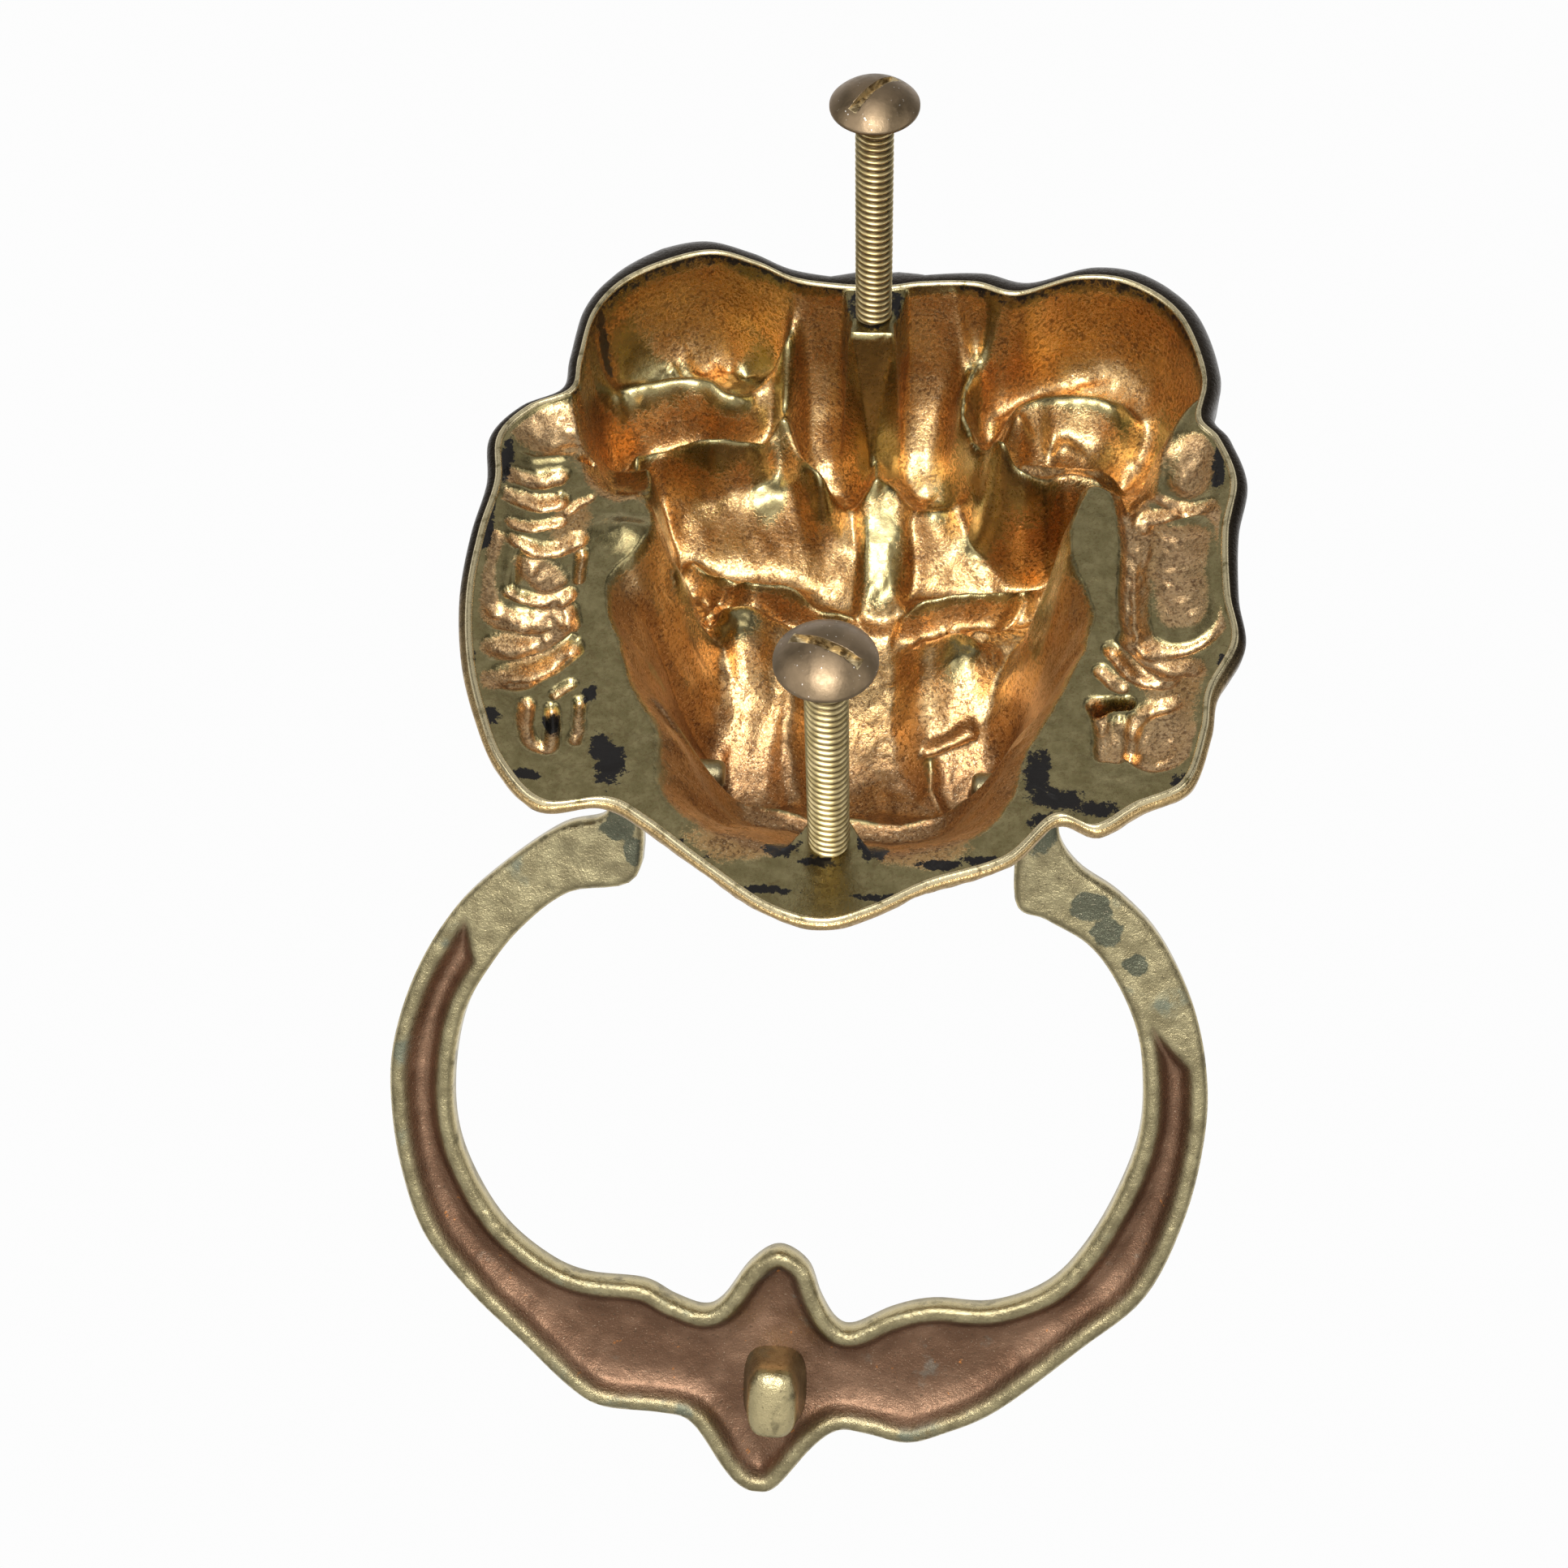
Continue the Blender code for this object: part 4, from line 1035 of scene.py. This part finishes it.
def ring_material():
    """Aged brass: brown channel, mottled khaki land with dark stains and painted shade next to the
    head, worn bright edges.
    """
    n = Nodes(bpy.data.materials.new("cast_brass_ring"))
    channel = n.attribute("channel")
    broad = n.noise(75, 3)
    middle = n.noise(330, 4)
    fine = n.noise(1500, 3, 0.7)
    grain = n.noise(3600, 2)
    land = n.mix(n.ramp(middle, 0.34, 0.68), (0.245, 0.205, 0.112), (0.38, 0.325, 0.182))
    patch = n.times(n.ramp(broad, 0.58, 0.68), n.ramp(middle, 0.40, 0.6))
    land = n.mix(n.times(patch, 0.75), land, (0.14, 0.165, 0.13))
    # random dark stains on top of the painted shade next to the head
    stain = n.plus(n.attribute("stain"), n.stray(n.noise(260, 5), 0.5, 1.6))
    land = n.mix(n.times(n.ramp(stain, 0.45, 0.62), 0.85), land, (0.075, 0.085, 0.062))
    brown = n.mix(n.ramp(broad, 0.35, 0.65), (0.15, 0.080, 0.046), (0.25, 0.145, 0.088))
    grey = n.times(n.ramp(n.noise(140, 4), 0.62, 0.72), 0.5)
    brown = n.mix(grey, brown, (0.21, 0.20, 0.16))
    rust = n.ramp(n.noise(520, 3), 0.69, 0.75)
    brown = n.mix(n.times(rust, 0.8), brown, (0.50, 0.19, 0.05))
    body = n.mix(channel, land, brown)
    edge = n.times(n.ramp(n.attribute("worn"), 0.35, 0.9), n.ramp(middle, 0.25, 0.5))
    body = n.mix(edge, body, (0.60, 0.50, 0.27))
    body = n.mix(n.times(n.ramp(fine, 0.60, 0.70), 0.6), body, (0.065, 0.05, 0.03))
    body = n.mix(n.times(n.ramp(grain, 0.64, 0.74), 0.4), body, (0.75, 0.60, 0.42))
    rough = n.plus(n.blend(channel, 0.34, 0.40), n.times(patch, 0.2))
    pits = n.bump(fine, 0.0004, 0.3, n.bump(middle, 0.0006, 0.2))
    return n.surface(body, n.blend(channel, 0.95, 0.88), n.blend(edge, rough, 0.26),
                     n.bump(grain, 0.00018, 0.3, pits))


def bolt_head_material():
    """Satin bronze with fine pale specks."""
    n = Nodes(bpy.data.materials.new("bronzed_bolt_head"))
    fine = n.noise(1900, 2)
    body = n.mix(n.ramp(n.noise(160, 3), 0.35, 0.65), (0.165, 0.118, 0.068), (0.245, 0.175, 0.105))
    body = n.mix(n.ramp(fine, 0.71, 0.74), body, (0.85, 0.80, 0.72))
    rough = n.blend(n.ramp(n.noise(900, 3), 0.4, 0.6), 0.36, 0.44)
    return n.surface(body, 0.92, rough, n.bump(fine, 0.00006, 0.4))


def slot_material():
    """Raw brass with streaks."""
    n = Nodes(bpy.data.materials.new("raw_brass_slot"))
    streak = n.noise(700, 4)
    body = n.mix(n.ramp(streak, 0.36, 0.58), (0.16, 0.11, 0.05), (0.62, 0.49, 0.28))
    return n.surface(body, 0.9, 0.42, n.bump(streak, 0.0006, 0.6))


def thread_material():
    """Yellow brass crests over painted shade in the roots."""
    n = Nodes(bpy.data.materials.new("brass_thread"))
    bright = n.mix(n.ramp(n.noise(600, 3), 0.35, 0.65), (0.40, 0.31, 0.14), (0.56, 0.45, 0.23))
    # the near-black in the roots is painted shade
    body = n.mix(n.ramp(n.attribute("crest"), 0.05, 0.75), (0.09, 0.06, 0.03), bright)
    return n.surface(body, 1.0, 0.34)


# ---------------------------------------------------------------- assembly

def finish_bolt_head(head, crown, slot_turn, skin, raw):
    """Raw brass on the faces that the slot cutter left."""
    head.data.materials.append(skin)
    head.data.materials.append(raw)
    side = Vector((-sin(slot_turn), 0, cos(slot_turn)))
    bottom = crown - SLOT_DEPTH
    for face in head.data.polygons:
        face.use_smooth = True
        centre = face.center / MM
        if abs(centre.dot(side)) >= SLOT_WIDTH / 2 + 0.12:
            continue
        wall = abs(face.normal.dot(side)) > 0.7
        floor = centre.y < bottom + 0.05
        if (wall or floor) and centre.y > bottom - 0.1:
            face.material_index = 1
            face.use_smooth = False


def build_object():
    head = make_head()
    head.data.materials.append(head_material())
    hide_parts("lion_head")
    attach(head, "head")
    ring = make_ring()
    ring.data.materials.append(ring_material())
    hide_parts("knocker_ring")
    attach(ring, "ring")
    skin = bolt_head_material()
    raw = slot_material()
    thread = thread_material()
    for name, box, z, slot_turn in (("upper_bolt", UPPER_BOX, UPPER_Z, UPPER_SLOT_TURN),
                                    ("lower_bolt", LOWER_BOX, LOWER_Z, LOWER_SLOT_TURN)):
        cap, shank = make_bolt(name, box, z, slot_turn)
        finish_bolt_head(cap, box[1][1] / MM, slot_turn, skin, raw)
        shank.data.materials.append(thread)
        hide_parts(name)
        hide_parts(name)
        for piece in (cap, shank):
            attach(piece, "head")


# ---------------------------------------------------------------- stage

CAMERA_PLACE = Vector((-0.0192, 0.3201, -0.2863))
CAMERA_LOOK = Vector((0.0659, -0.7979, 0.5992))
CAMERA_UP = Vector((0.0498, 0.6024, 0.7967))
CAMERA_RIGHT = CAMERA_LOOK.cross(CAMERA_UP).normalized()
CAMERA_LENS = 62.4
CAMERA_SENSOR = 36
# Strength of the world behind the camera and beyond the object
ROOM = 0.06
BACKDROP = 0.98
FLOOR_HALF = 3.0
FLOOR_LEVEL = -0.62
# Soft boxes in metres and watts per square metre: distance behind the object along the view,
# to the right, up, size, radiance
SOFT_BOXES = {
    "key": (0.80, -0.05, 0.10, (0.40, 0.34), 14.5),
    "left": (0.45, -0.70, 0.25, (0.4, 0.6), 1.6),
    "right": (0.45, 0.70, 0.15, (0.3, 0.6), 1.6),
    "upper": (0.68, 0.0, 0.52, (0.7, 0.35), 2.2),
    "top": (0.22, 0.0, 0.77, (1.0, 0.5), 0.38)}


def make_camera():
    data = bpy.data.cameras.new("camera")
    data.lens = CAMERA_LENS
    data.sensor_width = CAMERA_SENSOR
    data.clip_start = 0.01
    camera = add_object("camera", data)
    up = CAMERA_RIGHT.cross(CAMERA_LOOK).normalized()
    turn = Matrix((CAMERA_RIGHT, up, -CAMERA_LOOK.normalized())).transposed()
    camera.matrix_world = Matrix.Translation(CAMERA_PLACE) @ turn.to_4x4()
    bpy.context.scene.camera = camera


def make_world():
    """White beyond the object, falling to a dim room behind the camera."""
    world = bpy.data.worlds.new("studio")
    bpy.context.scene.world = world
    n = Nodes(world)
    place = n.add("ShaderNodeTexCoord", {}).outputs["Generated"]
    along = n.add("ShaderNodeVectorMath", {0: place}, operation='DOT_PRODUCT')
    along.inputs[1].default_value = CAMERA_LOOK
    fade = n.ramp(along.outputs["Value"], -0.25, 0.80)
    background = n.tree.nodes["Background"]
    n.feed(background.inputs["Strength"], n.blend(fade, ROOM, BACKDROP))
    n.feed(background.inputs["Color"], (1.0, 1.0, 1.0))


def make_floor():
    mesh = bpy.data.meshes.new("floor")
    corners = [(x * FLOOR_HALF, y * FLOOR_HALF, FLOOR_LEVEL)
               for x, y in ((-1, -1), (1, -1), (1, 1), (-1, 1))]
    mesh.from_pydata(corners, [], [(0, 1, 2, 3)])
    n = Nodes(bpy.data.materials.new("pale_floor"))
    mesh.materials.append(n.surface((0.80, 0.80, 0.79), 0.0, 0.7))
    add_object("floor", mesh)


def soft_box(name, along, right, up, size, radiance):
    data = bpy.data.lights.new(name, 'AREA')
    data.shape = 'RECTANGLE'
    data.size, data.size_y = size
    data.energy = radiance * pi * size[0] * size[1]
    lamp = add_object(name, data)
    lamp.location = -CAMERA_LOOK * along + CAMERA_RIGHT * right + CAMERA_UP * up
    lamp.rotation_mode = 'QUATERNION'
    lamp.rotation_quaternion = (-lamp.location).to_track_quat('-Z', 'Y')


def make_stage():
    make_camera()
    make_world()
    make_floor()
    for name, place in SOFT_BOXES.items():
        soft_box(name, *place)
    view = bpy.context.scene.view_settings
    view.view_transform = 'Standard'
    view.look = 'None'


def main():
    build_object()
    make_stage()


main()
